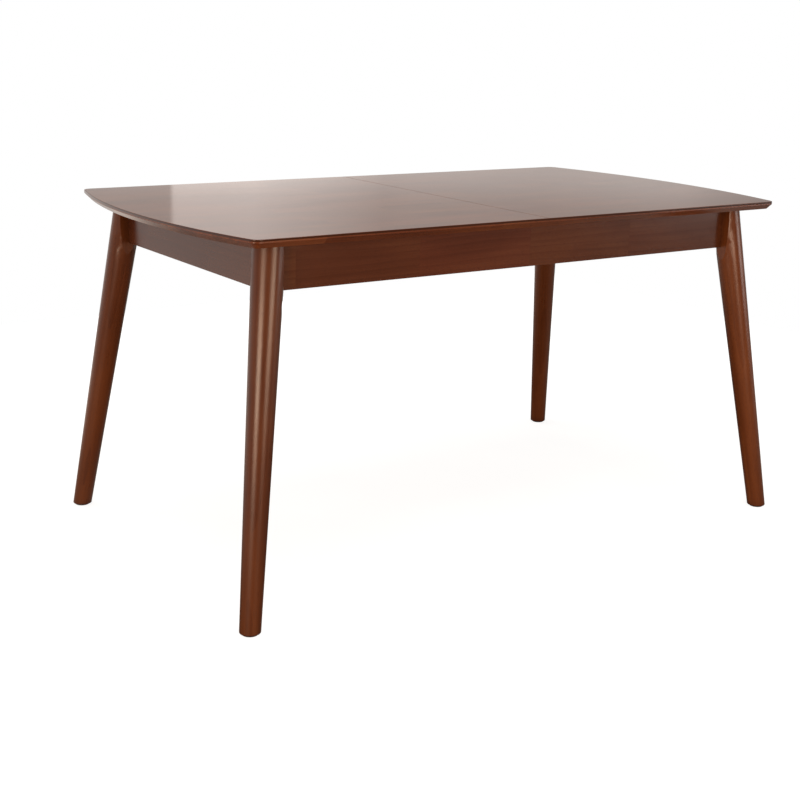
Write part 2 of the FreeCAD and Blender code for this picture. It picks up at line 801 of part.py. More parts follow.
def leaf_panel(name, bottom, top, show_face_up, tools):
    """One panel of the leaf: hinged edge to the back, table edge to the front while it is stored."""
    body = extrusion(f"{name}_board", "XY_Plane", bottom, top, [[
        (-leaf_end, -leaf_half), (leaf_end, -leaf_half), (leaf_end, leaf_half), (-leaf_end, leaf_half),
    ]])
    edge_y = -leaf_half.number

    def is_inner_edge(edge):
        return abs(middle_of(edge).y - edge_y) > 1e-4

    under, show = (bottom, top) if show_face_up else (top, bottom)
    edge_dressing(body, name, under, show, is_inner_edge)
    return keep(cut(f"{name}_cut", body, tools), name)


def hinge_parts(number, x):
    """A butt hinge let into the show faces, which lie face to face: two plates and a pin."""
    hinge_y = leaf_half + half_seam
    hinge_z = upper_panel_bottom - S.leaf_fold_gap / 2
    start = x - S.hinge_length / 2
    knuckle = S.hinge_length / 4
    gap = S.hinge_fit
    bore = rod(f"hinge_{number}_bore", S.hinge_pin_radius + S.hinge_fit, S.hinge_length + S.cut_overrun * 2,
               (start - S.cut_overrun, hinge_y, hinge_z), (1, 0, 0))
    middle_span = (start + knuckle, start + knuckle * 3)
    end_spans = ((start, start + knuckle - gap), (start + knuckle * 3 + gap, start + S.hinge_length))

    def barrel(tag, span, extra=ZERO):
        return rod(tag, S.hinge_barrel_radius + extra, span[1] - span[0], (span[0], hinge_y, hinge_z),
                   (1, 0, 0))

    inner_edge = hinge_y - S.hinge_leaf_width
    upper_floor = upper_panel_bottom + S.hinge_plate_thickness
    lower_floor = lower_panel_top - S.hinge_plate_thickness
    upper = block(f"hinge_{number}_upper_flap", (start, inner_edge, upper_panel_bottom),
                  (start + S.hinge_length, hinge_y, upper_floor))
    lower = block(f"hinge_{number}_lower_flap", (start, inner_edge, lower_floor),
                  (start + S.hinge_length, hinge_y, lower_panel_top))
    room_middle = barrel(f"hinge_{number}_room_middle",
                         (middle_span[0] - gap, middle_span[1] + gap), S.hinge_fit)
    room_ends = [barrel(f"hinge_{number}_room_{index}", (span[0] - gap, span[1] + gap), S.hinge_fit)
                 for index, span in enumerate(end_spans)]
    upper_barrels = [barrel(f"hinge_{number}_knuckle_{index}", span)
                     for index, span in enumerate(end_spans)]
    upper_plate = cut(f"hinge_{number}_upper", joined(f"hinge_{number}_upper_blank", [
        cut(f"hinge_{number}_upper_open", upper, [room_middle])] + upper_barrels), [bore])
    lower_plate = cut(f"hinge_{number}_lower", joined(f"hinge_{number}_lower_blank", [
        cut(f"hinge_{number}_lower_open", lower, room_ends),
        barrel(f"hinge_{number}_middle_knuckle", middle_span)]), [bore])
    pin = rod(f"hinge_{number}_pin", S.hinge_pin_radius, S.hinge_length, (start, hinge_y, hinge_z),
              (1, 0, 0))
    recess_x = (start - gap, start + S.hinge_length + gap)
    past_edge = hinge_y + S.cut_overrun
    upper_room = block(f"hinge_{number}_upper_room",
                       (recess_x[0], inner_edge, upper_panel_bottom - S.cut_overrun),
                       (recess_x[1], past_edge, upper_floor))
    lower_room = block(f"hinge_{number}_lower_room", (recess_x[0], inner_edge, lower_floor),
                       (recess_x[1], past_edge, lower_panel_top + S.cut_overrun))
    barrel_room = barrel(f"hinge_{number}_barrel_room", recess_x, S.hinge_fit)
    return upper_plate, lower_plate, pin, [upper_room, barrel_room], [lower_room, barrel_room]


def rod_saddle(number, x, rod_room):
    """A block on the upper panel that the pivot rod passes through."""
    top = pivot_height + S.pivot_rod_radius + S.saddle_wall_over_rod
    solid = block(f"rod_saddle_{number}_blank",
                  (x - S.saddle_length / 2, pivot_y - S.saddle_width / 2, upper_panel_top),
                  (x + S.saddle_length / 2, pivot_y + S.saddle_width / 2, top))
    return cut(f"rod_saddle_{number}", solid, [rod_room])


def rod_bracket(side, rod_room):
    """A steel plate on the inner face of a cross rail that carries an end of the pivot rod."""
    face_x = cross_rail_near * side
    ends = in_order(face_x, face_x - S.bracket_thickness * side)
    shoulder = S.bracket_width / 2
    neck = S.pivot_rod_radius + S.bracket_wall_over_rod
    top = pivot_height + neck
    plate = extrusion(f"rod_bracket_{SIDE_NAMES[side]}_plate", "YZ_Plane", *ends, [[
        (pivot_y - shoulder, cross_rail_top - S.bracket_depth),
        (pivot_y + shoulder, cross_rail_top - S.bracket_depth),
        (pivot_y + shoulder, cross_rail_top),
        (pivot_y + neck, pivot_height),
        (pivot_y + neck, top),
        (pivot_y - neck, top),
        (pivot_y - neck, pivot_height),
        (pivot_y - shoulder, cross_rail_top),
    ]])
    return cut(f"rod_bracket_{SIDE_NAMES[side]}_cut", plate, [rod_room])


def leaf_cleat(side):
    """A cleat on a cross rail, under the half of the folded leaf that lifts."""
    x = in_order(cross_rail_near * side, (cross_rail_near - S.cleat_width) * side)
    return block(f"leaf_cleat_{SIDE_NAMES[side]}_bar",
                 (x[0], -leaf_half, lower_panel_bottom - S.cleat_height),
                 (x[1], pivot_y - S.cleat_end_gap_to_pivot, lower_panel_bottom))


# Sliding bolts under the seam, in the lane between the outer runners and the long aprons

lane_y = (outer_runner_far + inner_y) / 2
plate_bottom = underside - S.lock_plate_thickness
bar_bottom = plate_bottom - S.lock_bar_fit - S.lock_bar_thickness
lock_base_length = S.lock_throw + (S.lock_strap_length + S.lock_knob_radius + S.lock_knob_clearance) * 2
lock_base_end = S.lock_gap_to_seam + lock_base_length


def lock_plate(name, face, start, end):
    """A flat plate under the top, between two places along the table."""
    y = lane_y * face
    half = S.lock_plate_width / 2
    return block(name, (start, y - half, plate_bottom), (end, y + half, underside))


def lock_strap(name, face, start, fit):
    """A strap under a plate, with a window for the bar."""
    y = lane_y * face
    room = S.lock_bar_width / 2 + fit
    half = room + S.lock_strap_wall
    floor = bar_bottom - fit
    end = start + S.lock_strap_length
    over = S.cut_overrun
    blank = block(f"{name}_blank", (start, y - half, floor - S.lock_strap_wall), (end, y + half, plate_bottom))
    window = block(f"{name}_window", (start - over, y - room, floor), (end + over, y + room, plate_bottom))
    return cut(name, blank, [window])


def lock_base(face):
    """A plate under the left half, with two straps that guide the bar."""
    name = f"lock_base_{FACE_NAMES[face]}"
    plate = lock_plate(f"{name}_plate", face, -lock_base_end, -S.lock_gap_to_seam)
    far_strap = lock_strap(f"{name}_far_strap", face, -lock_base_end, S.lock_bar_fit)
    near_strap = lock_strap(f"{name}_near_strap", face, -S.lock_gap_to_seam - S.lock_strap_length,
                            S.lock_bar_fit)
    return keep(joined(f"{name}_body", [plate, far_strap, near_strap]), name)


def lock_keeper(face):
    """A plate under the right half, with the strap that the bar enters."""
    name = f"lock_keeper_{FACE_NAMES[face]}"
    plate = lock_plate(f"{name}_plate", face, S.lock_gap_to_seam, S.lock_gap_to_seam + S.lock_keeper_length)
    strap = lock_strap(f"{name}_strap", face, S.lock_gap_to_seam, S.lock_keeper_fit)
    return keep(joined(f"{name}_body", [plate, strap]), name)


def lock_bolt(face):
    """A flat bar with a knob under it; it slides along the table, and is drawn back while it is open."""
    name = f"lock_bolt_{FACE_NAMES[face]}"
    y = lane_y * face
    half = S.lock_bar_width / 2
    tail = lock_base_end + S.lock_throw - S.lock_strap_length / 2
    middle = bar_bottom + S.lock_bar_thickness / 2
    bar = block(f"{name}_bar", (-tail, y - half, bar_bottom),
                (-S.lock_gap_to_seam, y + half, bar_bottom + S.lock_bar_thickness))
    knob_x = S.lock_strap_length + S.lock_knob_clearance + S.lock_knob_radius - lock_base_end
    knob = rod(f"{name}_knob", S.lock_knob_radius, S.lock_knob_drop + S.lock_bar_thickness / 2,
               (knob_x, y, middle), (0, 0, -1))
    return keep(joined(f"{name}_body", [bar, knob]), name)


# Build the frame

corners = [(side, face) for face in (FRONT, BACK) for side in (LEFT, RIGHT)]
bolts = []
washers = []
nuts = []
frame_screws = []
leg_tools = {}
end_apron_tools = {LEFT: [], RIGHT: []}
long_apron_tools = {FRONT: [], BACK: []}
for side, face in corners:
    block_bolts, block_washers, block_nuts, screws, bolt_tools, screw_tools = corner_block(side, face)
    bolts += block_bolts
    washers += block_washers
    nuts += block_nuts
    frame_screws += screws
    leg_tools[side, face] = bolt_tools
    long_apron_tools[face] += bolt_tools + screw_tools[:1]
    end_apron_tools[side] += bolt_tools + screw_tools[1:]

for side, face in corners:
    leg(side, face, leg_tools[side, face])
    glide(side, face)

lap = {(side, face): lap_screw(side, face) for side, face in corners}
frame_screws += [solid for solid, _ in lap.values()]
for side in (LEFT, RIGHT):
    end_apron(side, end_apron_tools[side])
    cross_rail(side, [lap[side, face][1] for face in (FRONT, BACK)])
for face in (FRONT, BACK):
    long_apron(face, long_apron_tools[face])
    slide_rail(face, [lap[side, face][1] for side in (LEFT, RIGHT)])

keep(grouped("hanger_bolt_group", bolts), "leg_hanger_bolts")
keep(grouped("washer_group", washers), "leg_bolt_washers")
keep(grouped("nut_group", nuts), "leg_bolt_nuts")
keep(grouped("frame_screw_group", frame_screws), "frame_screws")
keep(grouped("slide_stop_group", [slide_stop(side, face) for side, face in corners]), "slide_stops")

# Build the stored leaf

rod_length = cross_rail_near * 2
pivot_rod = rod("pivot_rod_bar", S.pivot_rod_radius, rod_length, (-cross_rail_near, pivot_y, pivot_height),
                (1, 0, 0))
keep(pivot_rod, "leaf_pivot_rod")
rod_room = rod("pivot_rod_room", S.pivot_rod_radius + S.pivot_fit, rod_length + S.cut_overrun * 2,
               (-cross_rail_near - S.cut_overrun, pivot_y, pivot_height), (1, 0, 0))
saddles = [rod_saddle(number, (leaf_end - S.saddle_inset_from_leaf_end) * side, rod_room)
           for number, side in enumerate((LEFT, RIGHT), start=1)]
keep(grouped("saddle_group", saddles), "leaf_rod_saddles")
for side in (LEFT, RIGHT):
    keep(rod_bracket(side, rod_room), f"leaf_rod_bracket_{SIDE_NAMES[side]}")
    keep(leaf_cleat(side), f"leaf_cleat_{SIDE_NAMES[side]}")

upper_tools = []
lower_tools = []
upper_plates = []
lower_plates = []
hinge_pins = []
for number, side in enumerate((LEFT, RIGHT), start=1):
    upper_plate, lower_plate, pin, upper_rooms, lower_rooms = hinge_parts(
        number, (leaf_end - S.hinge_inset_from_leaf_end) * side)
    upper_plates.append(upper_plate)
    lower_plates.append(lower_plate)
    hinge_pins.append(pin)
    upper_tools += upper_rooms
    lower_tools += lower_rooms

stored_pin_y = pivot_y * 2 - (half_width - S.pin_distance_from_side)
leaf_pins = []
for label, bottom, tools in (("upper", upper_panel_bottom, upper_tools),
                             ("lower", lower_panel_bottom, lower_tools)):
    height = bottom + S.top_thickness / 2
    leaf_pins.append(alignment_pin(f"leaf_pin_{label}", -leaf_end, -1, stored_pin_y, height))
    tools.append(pin_seat(f"leaf_pin_seat_{label}", -leaf_end, -1, stored_pin_y, height))
    tools.append(pin_socket(f"leaf_socket_{label}", leaf_end, -1, stored_pin_y, height))

leaf_panel("leaf_panel_upper", upper_panel_bottom, upper_panel_top, False, upper_tools)
leaf_panel("leaf_panel_lower", lower_panel_bottom, lower_panel_top, True, lower_tools)
keep(grouped("upper_plate_group", upper_plates), "leaf_hinge_plates_upper")
keep(grouped("lower_plate_group", lower_plates), "leaf_hinge_plates_lower")
keep(grouped("hinge_pin_group", hinge_pins), "leaf_hinge_pins")
keep(grouped("leaf_pin_group", leaf_pins), "leaf_alignment_pins")

# Build the two sliding halves

pin_height = S.table_height - S.top_thickness / 2
for side in (LEFT, RIGHT):
    top_screws = []
    top_tools = []
    for face in (FRONT, BACK):
        screws, tools = runner(side, face)
        top_screws += screws
        top_tools += tools
    screws, tools = batten(side)
    top_screws += screws
    top_tools += tools
    for number, y in enumerate(pin_places(), start=1):
        tag = f"seam_{SIDE_NAMES[side]}_{number}"
        if side == RIGHT:
            top_tools.append(pin_seat(f"{tag}_seat", half_seam, -1, y, pin_height))
        else:
            top_tools.append(pin_socket(f"{tag}_socket", -half_seam, -1, y, pin_height))
    top_half(side, top_tools)
    keep(grouped(f"top_screw_group_{SIDE_NAMES[side]}", top_screws), f"top_screws_{SIDE_NAMES[side]}")

seam_pins = [alignment_pin(f"seam_pin_{number}", half_seam, -1, y, pin_height)
             for number, y in enumerate(pin_places(), start=1)]
keep(grouped("seam_pin_group", seam_pins), "top_alignment_pins")

for face in (FRONT, BACK):
    lock_base(face)
    lock_keeper(face)
    lock_bolt(face)

# Check and write every piece

doc.recompute()
for item in doc.Objects:
    if "Invalid" in item.State or "Error" in item.State:
        raise RuntimeError(f"{item.Name} failed: {item.State}")
for piece in nodes:
    if piece.Shape.isNull() or not piece.Shape.isValid():
        raise RuntimeError(f"{piece.Label} has no valid shape")
for piece in nodes:
    piece.Shape.exportStep(f"parts/{piece.Label}.step")
print(len(nodes), "pieces written")
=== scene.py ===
"""Looks of an extending dining table: lacquered hardwood, its hidden gear, a camera and a studio."""
import math

import bmesh
import bpy
from mathutils import Matrix, Vector


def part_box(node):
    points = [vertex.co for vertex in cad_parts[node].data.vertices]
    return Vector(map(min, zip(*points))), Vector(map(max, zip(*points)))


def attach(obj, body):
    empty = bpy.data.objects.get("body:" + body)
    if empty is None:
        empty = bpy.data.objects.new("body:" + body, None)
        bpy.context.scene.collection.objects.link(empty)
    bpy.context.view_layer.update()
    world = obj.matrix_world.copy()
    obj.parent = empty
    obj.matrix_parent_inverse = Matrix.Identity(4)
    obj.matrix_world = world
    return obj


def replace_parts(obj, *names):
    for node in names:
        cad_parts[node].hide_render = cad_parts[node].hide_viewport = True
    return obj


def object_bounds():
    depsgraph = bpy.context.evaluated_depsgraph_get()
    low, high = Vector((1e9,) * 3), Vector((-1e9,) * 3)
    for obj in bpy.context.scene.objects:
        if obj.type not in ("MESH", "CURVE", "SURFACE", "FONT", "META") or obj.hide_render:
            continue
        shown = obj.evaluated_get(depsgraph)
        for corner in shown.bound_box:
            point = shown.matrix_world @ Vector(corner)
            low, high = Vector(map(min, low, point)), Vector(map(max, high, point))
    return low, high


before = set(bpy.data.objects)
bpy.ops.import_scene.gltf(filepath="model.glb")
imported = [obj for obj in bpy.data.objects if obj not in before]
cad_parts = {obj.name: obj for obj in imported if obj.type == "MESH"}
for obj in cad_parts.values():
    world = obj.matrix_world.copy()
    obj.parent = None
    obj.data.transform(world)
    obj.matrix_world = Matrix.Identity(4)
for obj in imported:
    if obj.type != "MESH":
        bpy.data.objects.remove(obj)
cad_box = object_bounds()

# The camera, as the photograph was taken, in metres and radians
# Its focal length is a share of the picture's width, and its film's width is in millimetres
CAMERA_PLACE = Vector((-1.8657, -2.5525, 1.1487))
CAMERA_TURN = 0.6092
CAMERA_TILT = -0.2727
CAMERA_ROLL = 0.0285
CAMERA_FOCUS_SHARE = 1.69755
CAMERA_FILM_WIDTH = 36

# How a leg stands, which its grain follows, in metres: its height, and its axis at the floor and at the head
LEG_HEIGHT = 0.742
LEG_FOOT = (0.7186, 0.4250)
LEG_HEAD = (0.6199, 0.3214)

# Colours of the finishes, as linear red, green and blue; a wood's run from dark to light
TOP_COLOURS = ((0.060, 0.0140, 0.0040, 1), (0.088, 0.0225, 0.0070, 1), (0.120, 0.0350, 0.0112, 1))
APRON_COLOURS = ((0.055, 0.0140, 0.0045, 1), (0.068, 0.0180, 0.0062, 1), (0.083, 0.0240, 0.0085, 1))
LEG_COLOURS = ((0.060, 0.0138, 0.0025, 1), (0.079, 0.0193, 0.0040, 1), (0.101, 0.0269, 0.0063, 1))
BARE_COLOURS = ((0.420, 0.2550, 0.1250, 1), (0.540, 0.3550, 0.1900, 1), (0.640, 0.4500, 0.2650, 1))
DOWEL_COLOURS = ((0.500, 0.3300, 0.1800, 1), (0.600, 0.4200, 0.2500, 1), (0.680, 0.5100, 0.3300, 1))
# The pores' colour, also used for the painted shade in the stained wood's corners
STAIN_PORE_AND_SHADE = (0.035, 0.0090, 0.0030, 1)
STAIN_RUBBED = (0.240, 0.0850, 0.0280, 1)
# The painted shade of a dark line along the top's arris
ARRIS_PAINTED_SHADE = (0.030, 0.0080, 0.0025, 1)
GLUE_LINE = (0.045, 0.0120, 0.0050, 1)
BARE_PORE = (0.300, 0.1700, 0.0780, 1)
BARE_RUBBED = (0.680, 0.5000, 0.3200, 1)
BARE_SHADED = (0.230, 0.1300, 0.0600, 1)
BRASS_BRIGHT = (0.700, 0.4700, 0.1800, 1)
BRASS_DULL = (0.360, 0.2200, 0.0850, 1)
ZINC_BRIGHT = (0.620, 0.6300, 0.6400, 1)
ZINC_DULL = (0.330, 0.3300, 0.3300, 1)
PLASTIC_DARK = (0.018, 0.0180, 0.0190, 1)
PLASTIC_SCUFFED = (0.070, 0.0700, 0.0720, 1)
FLOOR_PALE = (0.240, 0.2340, 0.2240, 1)
FLOOR_MIRRORED = (0.100, 0.0920, 0.0840, 1)
FLOOR_WARM = (1, 0.8800, 0.7800, 1)
WHITE = (1, 1, 1, 1)
BLACK = (0, 0, 0, 1)


# Node helpers

SOCKET_KINDS = {"value": "NodeSocketFloat", "vector": "NodeSocketVector"}


def add_node(tree, kind, inputs=None, **settings):
    """Adds a node; an input is a value, or the output of another node to join to it."""
    made = tree.nodes.new("ShaderNode" + kind)
    for name, value in settings.items():
        setattr(made, name, value)
    for key, value in (inputs or {}).items():
        if isinstance(value, bpy.types.NodeSocket):
            tree.links.new(value, made.inputs[key])
        else:
            made.inputs[key].default_value = value
    return made


def maths(tree, operation, *values):
    """The result of a Math node on one to three values."""
    return add_node(tree, "Math", dict(enumerate(values)), operation=operation).outputs[0]


def vector_maths(tree, operation, *values):
    """The result of a Vector Math node on one or two vectors."""
    return add_node(tree, "VectorMath", dict(enumerate(values)), operation=operation).outputs[0]


def stretch(tree, place, scale):
    """A place stretched by a scale along each axis."""
    return vector_maths(tree, "MULTIPLY", place, scale)


def noise(tree, place, scale, detail=2, roughness=0.5, distortion=0):
    """A cloudy value from nought to one; its scale is one number, or one for each axis."""
    if isinstance(scale, tuple):
        place = stretch(tree, place, scale)
        scale = 1
    made = add_node(tree, "TexNoise", {"Vector": place, "Scale": scale, "Detail": detail,
                                       "Roughness": roughness, "Distortion": distortion})
    return made.outputs["Fac"]


def remap(tree, value, low, high, to_low=0, to_high=1, smooth=False):
    """A value between two limits, moved to between two others and kept there."""
    made = add_node(tree, "MapRange", {"Value": value, "From Min": low, "From Max": high,
                                       "To Min": to_low, "To Max": to_high},
                    interpolation_type="SMOOTHSTEP" if smooth else "LINEAR")
    return made.outputs["Result"]


def weigh(tree, first, second, share):
    """Two values put together, the first by a share and the second by what is left."""
    return maths(tree, "ADD", maths(tree, "MULTIPLY", first, share),
                 maths(tree, "MULTIPLY", second, 1 - share))


def mix_colour(tree, share, first, second, blend="MIX"):
    """One colour laid over another by a share."""
    made = add_node(tree, "Mix", {0: share, 6: first, 7: second}, data_type="RGBA", blend_type=blend)
    return made.outputs[2]


def new_effect(name, inputs, outputs):
    """An empty effect with named inputs and outputs; gives its tree, its inputs and its outputs."""
    tree = bpy.data.node_groups.new(name, "ShaderNodeTree")
    for way, sockets in (("INPUT", inputs), ("OUTPUT", outputs)):
        for socket_name, kind in sockets.items():
            tree.interface.new_socket(socket_name, in_out=way, socket_type=SOCKET_KINDS[kind])
    start = tree.nodes.new("NodeGroupInput")
    end = tree.nodes.new("NodeGroupOutput")
    return tree, start.outputs, end.inputs


def use_effect(tree, effect, inputs):
    """Places an effect in a material and joins its inputs; gives its outputs."""
    return add_node(tree, "Group", inputs, node_tree=effect).outputs


# Effects that several materials share

# The figure of wood: how often each feature comes in a metre, along, across and through the grain
HEART_WANDER_SCALE = (1.6, 9, 9)
FIBRE_SCALE = (5, 230, 230)
BAND_SCALE = (1.5, 42, 42)
PORE_SCALE = (95, 1500, 1500)
CLOUD_SCALE = (3.2, 8, 8)
# The levels of noise between which each feature fades in
STREAK_LIMITS = (0.36, 0.64)
PORE_LIMITS = (0.61, 0.70)
CLOUD_LIMITS = (0.34, 0.66)
FIBRE_SHARE = 0.5
# The heart that the growth rings run round: how far it wanders across, and how far through the wood it lies
HEART_WANDER = 0.06
HEART_DEPTH = 0.045
LATE_WOOD_SHARPNESS = 2.2
# How far each step of the seed moves the figure, in metres
SEED_SHIFT = (1.7, 0.37, 0.53)


def make_wood_figure():
    """Growth rings, fibre streaks, open pores and tonal clouds; the wood's length runs along x."""
    tree, given, result = new_effect(
        "wood figure",
        {"Place": "vector", "Seed": "value", "Ring Spacing": "value"},
        {"Rings": "value", "Streaks": "value", "Pores": "value", "Clouds": "value"})
    place = vector_maths(tree, "ADD", given["Place"], stretch(tree, given["Seed"], SEED_SHIFT))
    wander = noise(tree, place, HEART_WANDER_SCALE)
    split = add_node(tree, "SeparateXYZ", {0: place})
    across = maths(tree, "MULTIPLY_ADD", wander, HEART_WANDER, split.outputs[1])
    depth = maths(tree, "ADD", split.outputs[2], HEART_DEPTH)
    squares = maths(tree, "ADD", maths(tree, "MULTIPLY", across, across),
                    maths(tree, "MULTIPLY", depth, depth))
    turns = maths(tree, "DIVIDE", maths(tree, "SQRT", squares), given["Ring Spacing"])
    late_wood = maths(tree, "POWER", maths(tree, "FRACT", turns), LATE_WOOD_SHARPNESS)
    tree.links.new(late_wood, result["Rings"])
    fibres = noise(tree, place, FIBRE_SCALE, detail=4, roughness=0.6)
    bands = noise(tree, place, BAND_SCALE, detail=3, roughness=0.55)
    streaks = weigh(tree, fibres, bands, FIBRE_SHARE)
    tree.links.new(remap(tree, streaks, *STREAK_LIMITS), result["Streaks"])
    dashes = noise(tree, place, PORE_SCALE, detail=1)
    tree.links.new(remap(tree, dashes, *PORE_LIMITS), result["Pores"])
    clouds = noise(tree, place, CLOUD_SCALE)
    tree.links.new(remap(tree, clouds, *CLOUD_LIMITS, smooth=True), result["Clouds"])
    return tree


# How far at most the figure of a stave is moved, in metres along, across and through the grain
STAVE_SHIFT = (3.0, 0.09, 0.035)


def joint_distance(tree, place, size):
    """How far a place, counted in staves of a size, is from the nearest joint between two."""
    return maths(tree, "MULTIPLY", maths(tree, "PINGPONG", place, 0.5), size)


def make_glued_staves():
    """Staves glued side by side and end to end: a tone for each, a shift of its grain, and the glue lines."""
    tree, given, result = new_effect(
        "glued staves",
        {"Place": "vector", "Seed": "value", "Stave Width": "value", "Stave Length": "value",
         "Line Width": "value"},
        {"Tone": "value", "Warmth": "value", "Grain Place": "vector", "Glue Line": "value"})
    split = add_node(tree, "SeparateXYZ", {0: given["Place"]})
    across = maths(tree, "DIVIDE", split.outputs[1], given["Stave Width"])
    row = maths(tree, "FLOOR", across)
    row_chance = add_node(tree, "TexWhiteNoise", {"W": maths(tree, "ADD", row, given["Seed"])},
                          noise_dimensions="1D").outputs["Value"]
    along = maths(tree, "ADD", maths(tree, "DIVIDE", split.outputs[0], given["Stave Length"]), row_chance)
    column = maths(tree, "FLOOR", along)
    stave = add_node(tree, "CombineXYZ", {0: column, 1: row, 2: given["Seed"]}).outputs[0]
    chance = add_node(tree, "TexWhiteNoise", {"Vector": stave}, noise_dimensions="3D").outputs["Color"]
    chances = add_node(tree, "SeparateColor", {0: chance}).outputs
    tree.links.new(chances[0], result["Tone"])
    tree.links.new(chances[1], result["Warmth"])
    shift = stretch(tree, chance, STAVE_SHIFT)
    tree.links.new(vector_maths(tree, "ADD", given["Place"], shift), result["Grain Place"])
    nearest = maths(tree, "MINIMUM", joint_distance(tree, across, given["Stave Width"]),
                    joint_distance(tree, along, given["Stave Length"]))
    half_line = maths(tree, "MULTIPLY", given["Line Width"], 0.5)
    tree.links.new(maths(tree, "LESS_THAN", nearest, half_line), result["Glue Line"])
    return tree


# How alike the true and the rounded facing of a place are, where an arris starts and where it is sharpest
EDGE_LIKENESS = (0.995, 0.86)
EDGE_SAMPLES = 6
WEAR_SCALE = 22
WEAR_LIMITS = (0.38, 0.62)


def make_rubbed_edges():
    """A mask along the arrises, where handling rubs a finish thin, broken up by wear."""
    tree, given, result = new_effect(
        "rubbed edges",
        {"Place": "vector", "Reach": "value", "Amount": "value"},
        {"Mask": "value"})
    rounded = add_node(tree, "Bevel", {"Radius": given["Reach"]}, samples=EDGE_SAMPLES).outputs[0]
    facing = add_node(tree, "NewGeometry").outputs["Normal"]
    likeness = add_node(tree, "VectorMath", {0: rounded, 1: facing}, operation="DOT_PRODUCT").outputs["Value"]
    edge = remap(tree, likeness, *EDGE_LIKENESS, smooth=True)
    patches = remap(tree, noise(tree, given["Place"], WEAR_SCALE, detail=3, roughness=0.6), *WEAR_LIMITS)
    mask = maths(tree, "MULTIPLY", maths(tree, "MULTIPLY", edge, patches), given["Amount"])
    tree.links.new(mask, result["Mask"])
    return tree


# How open a place is to its surroundings, where the painted corner shade starts and where it is darkest
CORNER_OPENNESS = (0.85, 0.35)
CORNER_SAMPLES = 8


def make_painted_corner_shade():
    """A mask of painted shade where pieces meet and in inner corners, darkest where a place is least open."""
    tree, given, result = new_effect("painted corner shade", {"Reach": "value"}, {"Mask": "value"})
    openness = add_node(tree, "AmbientOcclusion", {"Distance": given["Reach"]}, samples=CORNER_SAMPLES)
    tree.links.new(remap(tree, openness.outputs["AO"], *CORNER_OPENNESS, smooth=True), result["Mask"])
    return tree


# How often smudges, ripples and nibs come in a metre, and the levels of noise between which they fade in
WIPE_SCALE = (4, 9, 9)
WIPE_SHARE = 0.7
PRINT_SCALE = 45
SMUDGE_LIMITS = (0.35, 0.65)
RIPPLE_SCALE = 160
NIB_SCALE = 900
NIB_LIMITS = (0.72, 0.80)
NIB_HEIGHT_SHARE = 0.5


def make_lacquer_skin():
    """The skin of a sprayed lacquer: smudges that change its gloss, and the height of its ripple and nibs."""
    tree, given, result = new_effect(
        "lacquer skin",
        {"Place": "vector"},
        {"Smudges": "value", "Height": "value"})
    wiped = noise(tree, given["Place"], WIPE_SCALE, detail=3, roughness=0.6, distortion=0.8)
    prints = noise(tree, given["Place"], PRINT_SCALE)
    smudges = weigh(tree, wiped, prints, WIPE_SHARE)
    tree.links.new(remap(tree, smudges, *SMUDGE_LIMITS), result["Smudges"])
    ripple = noise(tree, given["Place"], RIPPLE_SCALE, detail=1)
    nibs = remap(tree, noise(tree, given["Place"], NIB_SCALE, detail=0), *NIB_LIMITS)
    tree.links.new(maths(tree, "MULTIPLY_ADD", nibs, NIB_HEIGHT_SHARE, ripple), result["Height"])
    return tree


# How often scratches and dull patches come in a metre, and the levels of noise between which they fade in
SCRATCH_SCALE = (120, 2600, 2600)
SCRATCH_LIMITS = (0.40, 0.62)
BLOTCH_SCALE = 170
BLOTCH_LIMITS = (0.42, 0.68)


def make_metal_skin():
    """Fine drawn scratches and dull patches of plated or solid metal."""
    tree, given, result = new_effect(
        "metal skin",
        {"Place": "vector"},
        {"Scratches": "value", "Dullness": "value"})
    scratches = noise(tree, given["Place"], SCRATCH_SCALE, roughness=0.6)
    tree.links.new(remap(tree, scratches, *SCRATCH_LIMITS), result["Scratches"])
    blotches = noise(tree, given["Place"], BLOTCH_SCALE, detail=4, roughness=0.65)
    tree.links.new(remap(tree, blotches, *BLOTCH_LIMITS), result["Dullness"])
    return tree


wood_figure = make_wood_figure()
glued_staves = make_glued_staves()
rubbed_edges = make_rubbed_edges()
painted_corner_shade = make_painted_corner_shade()
lacquer_skin = make_lacquer_skin()
metal_skin = make_metal_skin()


# Materials

def new_material(name):
    """An empty material with a Principled shader; gives the material, its tree and the shader."""
    material = bpy.data.materials.new(name)
    material.use_nodes = True
    tree = material.node_tree
    tree.nodes.clear()
    surface = tree.nodes.new("ShaderNodeBsdfPrincipled")
    output = tree.nodes.new("ShaderNodeOutputMaterial")
    tree.links.new(surface.outputs["BSDF"], output.inputs["Surface"])
    return material, tree, surface


def part_place(tree):
    """The place on the table, which travels with each moving piece."""
    return add_node(tree, "TexCoord").outputs["Object"]


# The table's axes that run along the grain, across a board's face and through it, by how the board lies
GRAIN_AXES = {"x": (0, 1, 2), "z": (2, 0, 1), "x_upright": (0, 2, 1), "y_upright": (1, 2, 0)}


def lay_grain(tree, place, grain):
    """The place turned so that x runs along the grain and y across the wide face."""
    split = add_node(tree, "SeparateXYZ", {0: place})
    turned = {index: split.outputs[axis] for index, axis in enumerate(GRAIN_AXES[grain])}
    return add_node(tree, "CombineXYZ", turned).outputs[0]


def lean_grain(tree, place, side, face):
    """The place straightened along a leaning leg, with x running up the leg."""
    split = add_node(tree, "SeparateXYZ", {0: place})
    lean_x = (LEG_FOOT[0] - LEG_HEAD[0]) / LEG_HEIGHT * side
    lean_y = (LEG_FOOT[1] - LEG_HEAD[1]) / LEG_HEIGHT * face
    across_x = maths(tree, "MULTIPLY_ADD", split.outputs[2], lean_x, split.outputs[0])
    across_y = maths(tree, "MULTIPLY_ADD", split.outputs[2], lean_y, split.outputs[1])
    return add_node(tree, "CombineXYZ", {0: split.outputs[2], 1: across_x, 2: across_y}).outputs[0]


